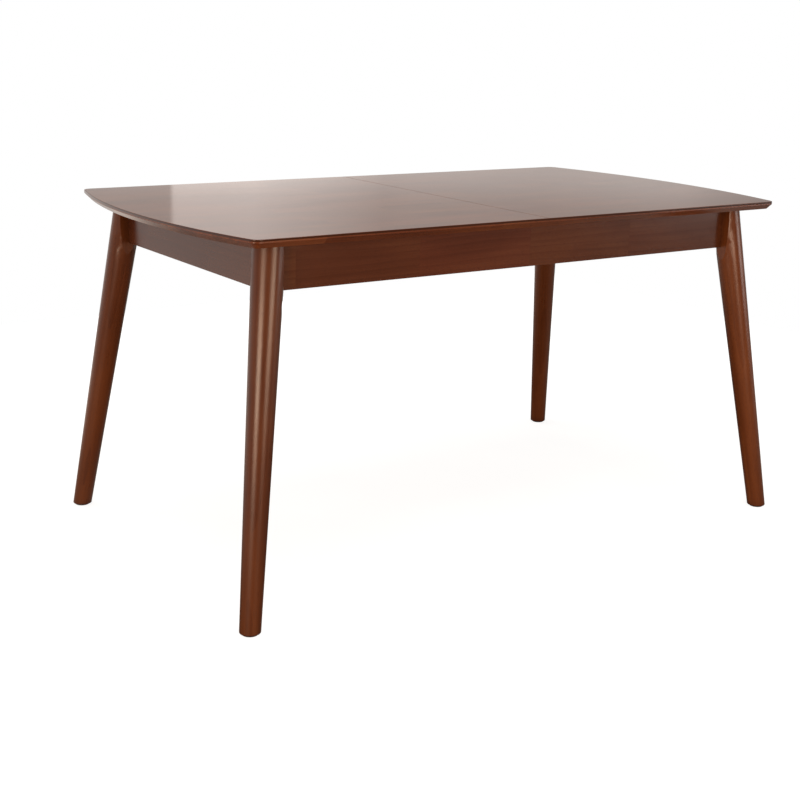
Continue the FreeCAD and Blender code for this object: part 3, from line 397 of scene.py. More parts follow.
# How much each feature lightens or darkens the wood, and the sums at which it is darkest and lightest
STREAKS_SHARE = 0.45
CLOUDS_SHARE = 0.55
PORES_SHARE = 0.55
STAINED_RINGS_SHARE = 0.35
BARE_RINGS_SHARE = 0.5
TONE_LIMITS = (-0.15, 0.85)


def wood_colour(tree, figure, dark, middle, light, pore, rings_share):
    """The colour of a wood from its figure: rings and streaks between dark and light, with darker pores."""
    rings = maths(tree, "MULTIPLY", figure["Rings"], rings_share)
    streaks = maths(tree, "MULTIPLY", figure["Streaks"], STREAKS_SHARE)
    clouds = maths(tree, "MULTIPLY", figure["Clouds"], CLOUDS_SHARE)
    tone = maths(tree, "SUBTRACT", maths(tree, "ADD", streaks, clouds), rings)
    ramp = add_node(tree, "ValToRGB", {"Fac": remap(tree, tone, *TONE_LIMITS)})
    ramp.color_ramp.elements[0].color = dark
    ramp.color_ramp.elements[1].color = light
    ramp.color_ramp.elements.new(0.5).color = middle
    pores = maths(tree, "MULTIPLY", figure["Pores"], PORES_SHARE)
    return mix_colour(tree, pores, ramp.outputs["Color"], pore)


def shade_by_tone(tree, colour, tone, warmth, spread, warm_spread):
    """A colour made lighter or darker by a stave's tone, and redder or yellower by its warmth."""
    made = add_node(tree, "HueSaturation", {
        "Color": colour,
        "Hue": remap(tree, warmth, 0, 1, 0.5 - warm_spread, 0.5 + warm_spread),
        "Value": remap(tree, tone, 0, 1, 1 - spread, 1 + spread)})
    return made.outputs["Color"]


def bump(tree, surface, height, depth):
    """Joins a height to the surface as fine relief of a depth."""
    made = add_node(tree, "Bump", {"Height": height, "Distance": depth, "Strength": 1})
    tree.links.new(made.outputs[0], surface.inputs["Normal"])


GLUE_LINE_WIDTH = 0.0003
WOOD_EDGE_REACH = 0.0012
LACQUER_IOR = 1.5
STAINED_RING_SPACING = 0.011
STAINED_WARMTH_SPREAD = 0.003
STAINED_SHADE_REACH = 0.03
GLUE_LINE_SHARE = 0.55
# How much duller the lacquer is, least and most, where it is smudged
SMUDGE_DULLING = (-0.01, 0.02)
STREAK_DULLING_SHARE = 0.15
RUBBED_DULLING = 0.2
# The shaped edge below the arris is sanded by hand, so it mirrors less sharply than the flat top
SHAPED_EDGE_DULLING = 0.13
ARRIS_FADE = 0.0007
# The relief of stained wood in metres, and how far each feature stands up or lies low in it
STAINED_RELIEF = 0.000014
TOP_RELIEF = 0.000003
LACQUER_HEIGHT_SHARE = 0.35
STAINED_STREAK_HEIGHT_SHARE = 0.35
STAINED_PORE_HEIGHT_SHARE = -0.6


def arris_masks(tree, place, low, high):
    """Masks of the arris between two heights and of the shaped edge below it."""
    height = add_node(tree, "SeparateXYZ", {0: place}).outputs[2]
    above = remap(tree, height, low, low + ARRIS_FADE, smooth=True)
    under = remap(tree, height, high, high - ARRIS_FADE, smooth=True)
    return maths(tree, "MULTIPLY", above, under), maths(tree, "SUBTRACT", 1, above)


def make_stained_wood(name, grain, seed, colours, roughness, shine, staves=None, leg=None, tone_spread=0.0,
                      rubbed=0.6, corner_shade=0.7, dark_arris=None, relief=STAINED_RELIEF):
    """Stained hardwood under a satin lacquer, in one piece or in staves of a width and a length.

    For a leg, its side and face of the table turn the grain. A dark arris is a pair of heights between which
    a dark line of painted shade is laid along the arris.
    """
    material, tree, surface = new_material(name)
    place = part_place(tree)
    laid = lean_grain(tree, place, *leg) if leg else lay_grain(tree, place, grain)
    tone, warmth, line, grain_place = 0.5, 0.5, 0.0, laid
    if staves:
        width, length = staves
        parts = use_effect(tree, glued_staves, {"Place": laid, "Seed": seed, "Stave Width": width,
                                                "Stave Length": length, "Line Width": GLUE_LINE_WIDTH})
        tone, warmth, line = parts["Tone"], parts["Warmth"], parts["Glue Line"]
        grain_place = parts["Grain Place"]
    figure = use_effect(tree, wood_figure, {"Place": grain_place, "Seed": seed,
                                            "Ring Spacing": STAINED_RING_SPACING})
    colour = wood_colour(tree, figure, *colours, STAIN_PORE_AND_SHADE, STAINED_RINGS_SHARE)
    colour = shade_by_tone(tree, colour, tone, warmth, tone_spread, STAINED_WARMTH_SPREAD)
    if staves:
        colour = mix_colour(tree, maths(tree, "MULTIPLY", line, GLUE_LINE_SHARE), colour, GLUE_LINE)
    edges = use_effect(tree, rubbed_edges, {"Place": place, "Reach": WOOD_EDGE_REACH, "Amount": rubbed})
    colour = mix_colour(tree, edges["Mask"], colour, STAIN_RUBBED)
    skin = use_effect(tree, lacquer_skin, {"Place": place})
    gloss = remap(tree, skin["Smudges"], 0, 1, *(roughness + dulling for dulling in SMUDGE_DULLING))
    gloss = maths(tree, "MULTIPLY_ADD", figure["Streaks"], roughness * STREAK_DULLING_SHARE, gloss)
    gloss = maths(tree, "MULTIPLY_ADD", edges["Mask"], RUBBED_DULLING, gloss)
    # Painted shade: a dark line is laid along the top's arris; the shaped edge below it is made duller
    if dark_arris:
        arris, shaped = arris_masks(tree, place, *dark_arris)
        colour = mix_colour(tree, arris, colour, ARRIS_PAINTED_SHADE)
        gloss = maths(tree, "MULTIPLY_ADD", shaped, SHAPED_EDGE_DULLING, gloss)
    # Painted shade: the wood is darkened towards the pore colour in corners and where pieces meet
    corners = use_effect(tree, painted_corner_shade, {"Reach": STAINED_SHADE_REACH})
    colour = mix_colour(tree, maths(tree, "MULTIPLY", corners["Mask"], corner_shade), colour, STAIN_PORE_AND_SHADE)
    tree.links.new(colour, surface.inputs["Base Color"])
    tree.links.new(gloss, surface.inputs["Roughness"])
    surface.inputs["IOR"].default_value = LACQUER_IOR
    surface.inputs["Specular IOR Level"].default_value = shine
    streaks = maths(tree, "MULTIPLY", figure["Streaks"], STAINED_STREAK_HEIGHT_SHARE)
    height = maths(tree, "MULTIPLY_ADD", figure["Pores"], STAINED_PORE_HEIGHT_SHARE, streaks)
    height = maths(tree, "MULTIPLY_ADD", skin["Height"], LACQUER_HEIGHT_SHARE, height)
    bump(tree, surface, height, relief)
    return material


BARE_RING_SPACING = 0.009
BARE_STAVES = (0.31, 0.62)
BARE_TONE_SPREAD = 0.07
BARE_WARMTH_SPREAD = 0.008
BARE_RUBBED_SHARE = 0.5
BARE_SHADE_REACH = 0.012
BARE_SHADE_SHARE = 0.6
BARE_ROUGHNESS = 0.50
BARE_STREAK_DULLING = 0.12
BARE_SHINE = 0.35
PLANING_SCALE = (260, 12, 12)
# The relief of planed wood in metres, and how far each feature stands up or lies low in it
BARE_RELIEF = 0.00022
BARE_STREAK_HEIGHT_SHARE = 0.6
PLANING_HEIGHT_SHARE = 0.3
BARE_PORE_HEIGHT_SHARE = -0.8


def make_bare_wood(name, grain, seed, colours, ring_spacing=BARE_RING_SPACING):
    """Planed and sealed hardwood without stain, for the pieces under the top."""
    material, tree, surface = new_material(name)
    place = part_place(tree)
    laid = lay_grain(tree, place, grain)
    width, length = BARE_STAVES
    staves = use_effect(tree, glued_staves, {"Place": laid, "Seed": seed, "Stave Width": width,
                                             "Stave Length": length, "Line Width": GLUE_LINE_WIDTH})
    figure = use_effect(tree, wood_figure, {"Place": staves["Grain Place"], "Seed": seed,
                                            "Ring Spacing": ring_spacing})
    colour = wood_colour(tree, figure, *colours, BARE_PORE, BARE_RINGS_SHARE)
    colour = shade_by_tone(tree, colour, staves["Tone"], staves["Warmth"], BARE_TONE_SPREAD,
                           BARE_WARMTH_SPREAD)
    edges = use_effect(tree, rubbed_edges, {"Place": place, "Reach": WOOD_EDGE_REACH,
                                            "Amount": BARE_RUBBED_SHARE})
    colour = mix_colour(tree, edges["Mask"], colour, BARE_RUBBED)
    # Painted shade: the sealed wood is darkened in corners and where pieces meet
    corners = use_effect(tree, painted_corner_shade, {"Reach": BARE_SHADE_REACH})
    shaded = maths(tree, "MULTIPLY", corners["Mask"], BARE_SHADE_SHARE)
    colour = mix_colour(tree, shaded, colour, BARE_SHADED)
    tree.links.new(colour, surface.inputs["Base Color"])
    gloss = maths(tree, "MULTIPLY_ADD", figure["Streaks"], BARE_STREAK_DULLING, BARE_ROUGHNESS)
    tree.links.new(gloss, surface.inputs["Roughness"])
    surface.inputs["Specular IOR Level"].default_value = BARE_SHINE
    planed = maths(tree, "MULTIPLY", noise(tree, laid, PLANING_SCALE, detail=1), PLANING_HEIGHT_SHARE)
    height = maths(tree, "MULTIPLY_ADD", figure["Streaks"], BARE_STREAK_HEIGHT_SHARE, planed)
    height = maths(tree, "MULTIPLY_ADD", figure["Pores"], BARE_PORE_HEIGHT_SHARE, height)
    bump(tree, surface, height, BARE_RELIEF)
    return material


METAL_EDGE_REACH = 0.0006
METAL_RUBBED_SHARE = 0.8
METAL_DULL_SHARE = 0.75
SCRATCH_DULLING = 0.14
BLOTCH_DULLING = 0.18
METAL_RELIEF = 0.00003


def make_metal(name, bright, dull, roughness):
    """Metal with drawn scratches, dull patches and rubbed edges."""
    material, tree, surface = new_material(name)
    place = part_place(tree)
    skin = use_effect(tree, metal_skin, {"Place": place})
    edges = use_effect(tree, rubbed_edges, {"Place": place, "Reach": METAL_EDGE_REACH,
                                            "Amount": METAL_RUBBED_SHARE})
    colour = mix_colour(tree, maths(tree, "MULTIPLY", skin["Dullness"], METAL_DULL_SHARE), bright, dull)
    colour = mix_colour(tree, edges["Mask"], colour, bright)
    tree.links.new(colour, surface.inputs["Base Color"])
    surface.inputs["Metallic"].default_value = 1
    gloss = maths(tree, "MULTIPLY_ADD", skin["Scratches"], SCRATCH_DULLING, roughness)
    gloss = maths(tree, "MULTIPLY_ADD", skin["Dullness"], BLOTCH_DULLING, gloss)
    tree.links.new(gloss, surface.inputs["Roughness"])
    bump(tree, surface, skin["Scratches"], METAL_RELIEF)
    return material


PLASTIC_EDGE_REACH = 0.0009
PLASTIC_RUBBED_SHARE = 0.9
SCUFF_SCALE = (60, 210, 210)
SCUFF_LIMITS = (0.55, 0.75)
SCUFF_SHARE = 0.5
PIT_SCALE = 1700
PIT_LIMITS = (0.3, 0.7)
PLASTIC_ROUGHNESS = (0.42, 0.58)
PLASTIC_RELIEF = 0.00008


def make_plastic(name):
    """Moulded plastic, finely pitted, and scuffed on its edges."""
    material, tree, surface = new_material(name)
    place = part_place(tree)
    edges = use_effect(tree, rubbed_edges, {"Place": place, "Reach": PLASTIC_EDGE_REACH,
                                            "Amount": PLASTIC_RUBBED_SHARE})
    scuffs = remap(tree, noise(tree, place, SCUFF_SCALE, detail=4, roughness=0.7), *SCUFF_LIMITS)
    worn = maths(tree, "MAXIMUM", edges["Mask"], maths(tree, "MULTIPLY", scuffs, SCUFF_SHARE))
    tree.links.new(mix_colour(tree, worn, PLASTIC_DARK, PLASTIC_SCUFFED), surface.inputs["Base Color"])
    pits = noise(tree, place, PIT_SCALE)
    tree.links.new(remap(tree, pits, *PIT_LIMITS, *PLASTIC_ROUGHNESS), surface.inputs["Roughness"])
    bump(tree, surface, pits, PLASTIC_RELIEF)
    return material


SIDES = {"left": -1, "right": 1}
FACES = {"front": -1, "back": 1}

# Each leg: the seed of its figure, and how much lighter or darker than the legs' colours it is made
LEG_SEEDS_AND_LIGHTNESS = {"leg front left": (40.0, 0.82), "leg front right": (54.0, 1.27), "leg back left": (46.0, 1.05),
             "leg back right": (60.0, 1.10)}
# How far the arris starts and ends below the top's face
ARRIS_DEPTHS = (0.0045, 0.0001)
TOP_ARRIS = [cad_box[1][2] - depth for depth in ARRIS_DEPTHS]
# The width and length of the staves
TOP_STAVES = (0.058, 0.42)
APRON_STAVES = (0.15, 0.29)

materials = {
    "top": make_stained_wood("lacquered top wood", "x", seed=3.0, colours=TOP_COLOURS, roughness=0.05,
                             shine=0.35, staves=TOP_STAVES, tone_spread=0.05, rubbed=0.1, corner_shade=0.3,
                             dark_arris=TOP_ARRIS, relief=TOP_RELIEF),
    "long apron": make_stained_wood("stained long apron wood", "x_upright", seed=11.0, colours=APRON_COLOURS,
                                    roughness=0.18, shine=0.3, staves=APRON_STAVES, tone_spread=0.05),
    "end apron": make_stained_wood("stained end apron wood", "y_upright", seed=17.0, colours=APRON_COLOURS,
                                   roughness=0.18, shine=0.25, staves=APRON_STAVES, tone_spread=0.05),
    "wood along": make_bare_wood("sealed wood along the table", "x_upright", seed=23.0,
                                 colours=BARE_COLOURS),
    "wood across": make_bare_wood("sealed wood across the table", "y_upright", seed=31.0,
                                  colours=BARE_COLOURS),
    "upright wood": make_bare_wood("sealed upright wood", "z", seed=37.0, colours=BARE_COLOURS),
    "dowel": make_bare_wood("turned dowel wood", "x", seed=41.0, colours=DOWEL_COLOURS, ring_spacing=0.004),
    "brass": make_metal("hinge brass", BRASS_BRIGHT, BRASS_DULL, roughness=0.22),
    "zinc": make_metal("zinc plated steel", ZINC_BRIGHT, ZINC_DULL, roughness=0.28),
    "plastic": make_plastic("moulded plastic"),
}
for face_name, face in FACES.items():
    for side_name, side in SIDES.items():
        key = f"leg {face_name} {side_name}"
        seed, lightness = LEG_SEEDS_AND_LIGHTNESS[key]
        colours = [(*(part * lightness for part in colour[:3]), 1) for colour in LEG_COLOURS]
        materials[key] = make_stained_wood(f"stained {face_name} {side_name} leg wood", "z", seed, colours,
                                           roughness=0.27, shine=0.3, leg=(side, face), rubbed=0.5)

# The finish of each node of the frame, by how its name starts; the others are zinc plated
FINISHES = {
    "top_left": "top", "top_right": "top", "leaf_panel_": "top",
    "apron_front": "long apron", "apron_back": "long apron",
    "apron_left": "end apron", "apron_right": "end apron",
    "leg_front_left": "leg front left", "leg_front_right": "leg front right",
    "leg_back_left": "leg back left", "leg_back_right": "leg back right",
    "runner_": "wood along", "slide_rail_": "wood along",
    "cross_rail_": "wood across", "batten_": "wood across", "leaf_cleat_": "wood across",
    "corner_block_": "upright wood",
    "top_alignment_pins": "dowel", "leaf_alignment_pins": "dowel",
    "leaf_hinge_": "brass",
    "slide_stops": "plastic", "foot_glide_": "plastic",
}


def finish_of(node_name):
    """The finish of a node of the frame."""
    for start, finish in FINISHES.items():
        if node_name.startswith(start):
            return finish
    return "zinc"


for node_name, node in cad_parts.items():
    node.data.materials.clear()
    node.data.materials.append(materials[finish_of(node_name)])


# Small fasteners

SIDE_COUNT = 24
SHARP_ANGLE = math.radians(38)
# Corners closer than this are one corner, in metres
WELD_REACH = 0.00001
FASTENER_WAYS = [Vector(way).normalized() for way in ((1, 0, 0), (0, 1, 0), (0, 0, 1), (1, 1, 0), (1, -1, 0))]
UP = Vector((0, 0, 1))
DOWN = Vector((0, 0, -1))
RIGHT = Vector((1, 0, 0))
# Threads, in metres
SCREW_SHANK_RADIUS = 0.002
SCREW_PITCH = 0.0022
BOLT_PITCH = 0.00125
BOLT_THREAD_LENGTH = 0.018
THREAD_DEPTH_SHARE = 0.22
RINGS_PER_TURN = 4
# Where a screw's neck ends, its thread starts and ends and its point starts, as shares of its length
# The point's radius where it starts and at its tip is a share of the shank's
SCREW_NECK_SHARE = 0.25
SCREW_THREAD_SHARES = (0.27, 0.90)
SCREW_POINT_SHARE = 0.93
SCREW_POINT_RADIUS_SHARES = (0.6, 0.1)
# The rim of a screw's head is what lies this far out, as a share of its radius
RIM_SHARE = 0.97
# A leg bolt: its rounded end, the run out of its thread in pitches, and its point
BOLT_END_RADIUS_SHARE = 0.78
BOLT_RUN_OUT = 1.2
BOLT_POINT_SHARE = 0.94
BOLT_POINT_RADIUS_SHARE = 0.5
# The domed head from its seat to its crown, as shares of its radius and of its height
HEAD_PROFILE_SHARES = ((1.00, 0.00), (1.00, 0.36), (0.95, 0.62), (0.84, 0.82), (0.70, 0.95), (0.60, 1.00))
# The cross recess in a head: its reach and half its width at the crown, how far down it stops, and its taper
RECESS_REACH_SHARE = 0.50
RECESS_HALF_WIDTH_SHARE = 0.11
RECESS_FLOOR_SHARE = 0.30
RECESS_REACH_TAPER_SHARE = 0.55
RECESS_WIDTH_TAPER_SHARE = 0.5
# The radius and height of the heads of the small screws, and where these screws go
SADDLE_SCREW = (0.0026, 0.0005)
SADDLE_SCREW_INSET = 0.0042
PLATE_SCREW = (0.0030, 0.0016)
PLATE_SCREW_INSET = 0.0065
CLEAT_SCREW = (0.0038, 0.0024)
CLEAT_SCREW_SHARES = (0.10, 0.50, 0.90)
STOP_SCREW_SHARES = (0.28, 0.72)
LOCK_SCREW = (0.0018, 0.0009)
LOCK_SCREW_SPREAD_SHARE = 0.38
LOCK_BASE_SCREW_SHARE = 0.5
LOCK_KEEPER_SCREW_SHARE = 0.7
LOCK_PLATE_THICKNESS = 0.002


def circle(radius, height):
    """The corners of a circle at a height."""
    turns = (index * 2 * math.pi / SIDE_COUNT for index in range(SIDE_COUNT))
    return [Vector((radius * math.cos(turn), radius * math.sin(turn), height)) for turn in turns]


def cross(reach, half_width, height):
    """The corners of a cross recess at a height, as many as a circle has."""
    between = (reach + half_width) / 2
    quarter = ((reach, 0), (reach, half_width), (between, half_width), (half_width, half_width),
               (half_width, between), (half_width, reach))
    corners = []
    for turn in range(4):
        for x, y in quarter:
            for _ in range(turn):
                x, y = -y, x
            corners.append(Vector((x, y, height)))
    return corners


def thread(radius, start, length, pitch):
    """The rings of a helical thread that runs down from a height."""
    root = radius * (1 - THREAD_DEPTH_SHARE)
    rings = []
    count = round(length / pitch * RINGS_PER_TURN)
    for index in range(count + 1):
        height = start - length * index / count
        ring = []
        for side in range(SIDE_COUNT):
            phase = (index / RINGS_PER_TURN + side / SIDE_COUNT) % 1
            reach = root + (radius - root) * abs(2 * phase - 1)
            turn = side * 2 * math.pi / SIDE_COUNT
            ring.append(Vector((reach * math.cos(turn), reach * math.sin(turn), height)))
        rings.append(ring)
    return rings


def add_rings(shape, rings, place, way):
    """Joins rings of corners into a closed skin; their downward way is turned to point along a way."""
    turn = Vector((0, 0, -1)).rotation_difference(way)
    made = [[shape.verts.new(turn @ corner + place) for corner in ring] for ring in rings]
    for upper, lower in zip(made, made[1:]):
        for index in range(SIDE_COUNT):
            shape.faces.new((upper[index - 1], lower[index - 1], lower[index], upper[index]))
    shape.faces.new(made[0])
    shape.faces.new(reversed(made[-1]))


def head_rings(radius, height):
    """The rings of a pan head, from the floor of its cross recess to the rim at its seat."""
    reach = radius * RECESS_REACH_SHARE
    half_width = radius * RECESS_HALF_WIDTH_SHARE
    recess = [cross(reach * RECESS_REACH_TAPER_SHARE, half_width * RECESS_WIDTH_TAPER_SHARE,
                    height * RECESS_FLOOR_SHARE),
              cross(reach, half_width, height)]
    return recess + [circle(radius * across, height * up) for across, up in reversed(HEAD_PROFILE_SHARES)]


def add_screw(shape, seat, way, radius, height, length):
    """A pan-head wood screw with a cross recess and a threaded shank that ends in a point."""
    shank = SCREW_SHANK_RADIUS
    thread_start, thread_end = (length * share for share in SCREW_THREAD_SHARES)
    shoulder, tip = (shank * share for share in SCREW_POINT_RADIUS_SHARES)
    rings = head_rings(radius, height)
    rings += [circle(shank, 0), circle(shank, -length * SCREW_NECK_SHARE)]
    rings += thread(shank, -thread_start, thread_end - thread_start, SCREW_PITCH)
    rings += [circle(shoulder, -length * SCREW_POINT_SHARE), circle(tip, -length)]
    add_rings(shape, rings, seat, way)


def add_screw_head(shape, seat, way, radius, height):
    """The head of a small screw, seated on a face."""
    add_rings(shape, head_rings(radius, height), seat, way)


def add_hanger_bolt(shape, end, way, radius, length):
    """A bolt with a machine thread at the nut's end, a plain middle and a point in the leg."""
    rings = [circle(radius * BOLT_END_RADIUS_SHARE, 0)]
    rings += thread(radius, -BOLT_PITCH, BOLT_THREAD_LENGTH, BOLT_PITCH)
    rings += [circle(radius, -BOLT_PITCH * BOLT_RUN_OUT - BOLT_THREAD_LENGTH),
              circle(radius, -length * BOLT_POINT_SHARE),
              circle(radius * BOLT_POINT_RADIUS_SHARE, -length)]
    add_rings(shape, rings, end, way)


def solids_of(node_name):
    """The corners of each separate solid in a node of the frame."""
    shape = bmesh.new()
    shape.from_mesh(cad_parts[node_name].data)
    bmesh.ops.remove_doubles(shape, verts=shape.verts, dist=WELD_REACH)
    seen = set()
    solids = []
    for start in shape.verts:
        if start in seen:
            continue
        seen.add(start)
        waiting = [start]
        solid = []
        while waiting:
            corner = waiting.pop()
            solid.append(corner.co.copy())
            for edge in corner.link_edges:
                other = edge.other_vert(corner)
                if other not in seen:
                    seen.add(other)
                    waiting.append(other)
        solids.append(solid)
    shape.free()
    return solids


def corners_of(solid):
    """The lowest and highest corner of a solid."""
    low = Vector([min(corner[axis] for corner in solid) for axis in range(3)])
    high = Vector([max(corner[axis] for corner in solid) for axis in range(3)])
    return low, high


def lie_of(solid):
    """How a round fastener lies: its middle, the way along it, and each corner's distance along and out."""
    low, high = corners_of(solid)
    middle = (low + high) / 2

    def spread(way):
        steps = [(corner - middle).dot(way) for corner in solid]
        return [(step, (corner - middle - way * step).length) for step, corner in zip(steps, solid)]

    way = min(FASTENER_WAYS, key=lambda tried: max(out for _, out in spread(tried)))
    return middle, way, spread(way)


def make_piece(name, shape, finish, body):
    """Turns a shape into a piece with a finish and a body to ride on."""
    bmesh.ops.recalc_face_normals(shape, faces=shape.faces)
    mesh = bpy.data.meshes.new(name)
    shape.to_mesh(mesh)
    shape.free()
    mesh.shade_smooth()
    mesh.set_sharp_from_angle(angle=SHARP_ANGLE)
    mesh.materials.append(materials[finish])
    piece = bpy.data.objects.new(name, mesh)
    bpy.context.scene.collection.objects.link(piece)
    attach(piece, body)
    return piece


def make_screws(node_name, body):
    """Screws with recessed heads and threads, where a node of the frame has plain ones."""
    shape = bmesh.new()
    for solid in solids_of(node_name):
        middle, way, spread = lie_of(solid)
        radius = max(out for _, out in spread)
        rim = [step for step, out in spread if out > radius * RIM_SHARE]
        if sum(rim) > 0:
            way = -way
            spread = [(-step, out) for step, out in spread]
            rim = [-step for step in rim]
        crown = min(step for step, _ in spread)
        tip = max(step for step, _ in spread)
        seat = max(rim)
        add_screw(shape, middle + way * seat, way, radius, seat - crown, tip - seat)
    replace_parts(make_piece(f"{node_name}_recessed", shape, "zinc", body), node_name)


def make_hanger_bolts():
    """The eight bolts that pull the legs to their corner blocks, threaded where the nuts are."""
    shape = bmesh.new()
    for solid in solids_of("leg_hanger_bolts"):
        middle, way, spread = lie_of(solid)
        if way.dot(middle) < 0:
            way = -way
        reach = max(abs(step) for step, _ in spread)
        add_hanger_bolt(shape, middle - way * reach, way, max(out for _, out in spread), reach * 2)
    piece = make_piece("leg_hanger_bolts_threaded", shape, "zinc", "frame")
    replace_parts(piece, "leg_hanger_bolts")


def make_saddle_screws():
    """Two flush screws in each saddle that holds the leaf on its rod."""
    shape = bmesh.new()
    for solid in solids_of("leaf_rod_saddles"):
        low, high = corners_of(solid)
        for y in (low.y + SADDLE_SCREW_INSET, high.y - SADDLE_SCREW_INSET):
            add_screw_head(shape, Vector(((low.x + high.x) / 2, y, high.z)), DOWN, *SADDLE_SCREW)
    make_piece("saddle_screws", shape, "zinc", "frame")


def make_bracket_screws():
    """Four screws through each bracket of the leaf's rod into its cross rail."""
    shape = bmesh.new()
    for side_name, side in SIDES.items():
        low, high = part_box(f"leaf_rod_bracket_{side_name}")
        face = low.x if side > 0 else high.x
        for y in (low.y + PLATE_SCREW_INSET, high.y - PLATE_SCREW_INSET):
            for z in (low.z + PLATE_SCREW_INSET, (low.z + high.z) / 2):
                add_screw_head(shape, Vector((face, y, z)), RIGHT * side, *PLATE_SCREW)
    make_piece("rod_bracket_screws", shape, "zinc", "frame")


def make_cleat_screws():
    """Three screws through each cleat under the leaf into its cross rail."""
    shape = bmesh.new()
    for side_name, side in SIDES.items():
        low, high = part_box(f"leaf_cleat_{side_name}")
        face = low.x if side > 0 else high.x
        for share in CLEAT_SCREW_SHARES:
            seat = Vector((face, low.y + (high.y - low.y) * share, (low.z + high.z) / 2))
            add_screw_head(shape, seat, RIGHT * side, *CLEAT_SCREW)
    make_piece("leaf_cleat_screws", shape, "zinc", "frame")


def make_stop_screws():
    """Two screws in each slide stop, in the face that the runner doesn't meet."""
    shape = bmesh.new()
    for solid in solids_of("slide_stops"):
        low, high = corners_of(solid)
        side = 1 if low.x > 0 else -1
        face = high.x if side > 0 else low.x
        for share in STOP_SCREW_SHARES:
            seat = Vector((face, (low.y + high.y) / 2, low.z + (high.z - low.z) * share))
            add_screw_head(shape, seat, RIGHT * -side, *PLATE_SCREW)
    make_piece("slide_stop_screws", shape, "zinc", "frame")


def make_lock_screws(part, body, share):
    """Two small screws beside the bar in each plate of the sliding bolts."""
    shape = bmesh.new()
    for face_name in FACES:
        low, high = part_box(f"{part}_{face_name}")
        x = low.x + (high.x - low.x) * share
        plate = high.z - LOCK_PLATE_THICKNESS
        for turn in (-1, 1):
            y = (low.y + high.y) / 2 + turn * (high.y - low.y) * LOCK_SCREW_SPREAD_SHARE
            add_screw_head(shape, Vector((x, y, plate)), UP, *LOCK_SCREW)
    make_piece(f"{part}_screws", shape, "zinc", body)


make_screws("frame_screws", "frame")
make_screws("top_screws_left", "half_left")
make_screws("top_screws_right", "half_right")
make_hanger_bolts()
make_saddle_screws()
make_bracket_screws()
make_cleat_screws()
make_stop_screws()
make_lock_screws("lock_base", "half_left", LOCK_BASE_SCREW_SHARE)
make_lock_screws("lock_keeper", "half_right", LOCK_KEEPER_SCREW_SHARE)


# The camera

def set_camera():
    """Puts the camera where the photograph was taken from."""
    turn, tilt, roll = CAMERA_TURN, CAMERA_TILT, CAMERA_ROLL
    ahead = Vector((math.sin(turn) * math.cos(tilt), math.cos(turn) * math.cos(tilt), math.sin(tilt)))
    level = Vector((math.cos(turn), -math.sin(turn), 0))
    upward = level.cross(ahead)
    right = level * math.cos(roll) + upward * math.sin(roll)
    up = upward * math.cos(roll) - level * math.sin(roll)
    lens = bpy.data.cameras.new("camera")
    lens.sensor_width = CAMERA_FILM_WIDTH
    lens.lens = CAMERA_FILM_WIDTH * CAMERA_FOCUS_SHARE
    camera = bpy.data.objects.new("camera", lens)
    camera.matrix_world = Matrix.Translation(CAMERA_PLACE) @ Matrix((right, up, -ahead)).transposed().to_4x4()
    bpy.context.scene.collection.objects.link(camera)
    bpy.context.scene.camera = camera


set_camera()

# The studio: a white cut-out background, surroundings that the lacquer mirrors, soft lamps and a pale floor

AMBIENT_LEVEL = 0.42
# Brightness of the surroundings by compass angle in degrees from +y towards +x, as the lacquer mirrors them
SURROUNDINGS = ((-180, 0.12), (-110, 0.16), (-70, 0.60), (-25, 0.78), (10, 0.58), (25, 0.54), (29, 0.53),
                (35, 0.55), (41, 0.49), (46, 0.53), (49, 0.38), (60, 0.20), (112, 0.30), (128, 0.40),
                (141, 0.18), (152, 0.06), (180, 0.12))
# The mirrored window: the angles of its crisp left edge and of its soft right edge, and how much it adds
WINDOW_EDGE = (25.08, 25.22)
WINDOW_FADE = (28.5, 34)
WINDOW_LEVEL = 0.42
SURROUNDINGS_TINT = (1, 0.93, 0.88)
# They are brighter near the horizon: the height of a ray where this starts and ends, and by how much
HORIZON_START = 0.127
HORIZON_END = 0.108
HORIZON_GAIN = 1.45
# A new colour ramp has two stops; the others are added
FIRST_STOPS = 2


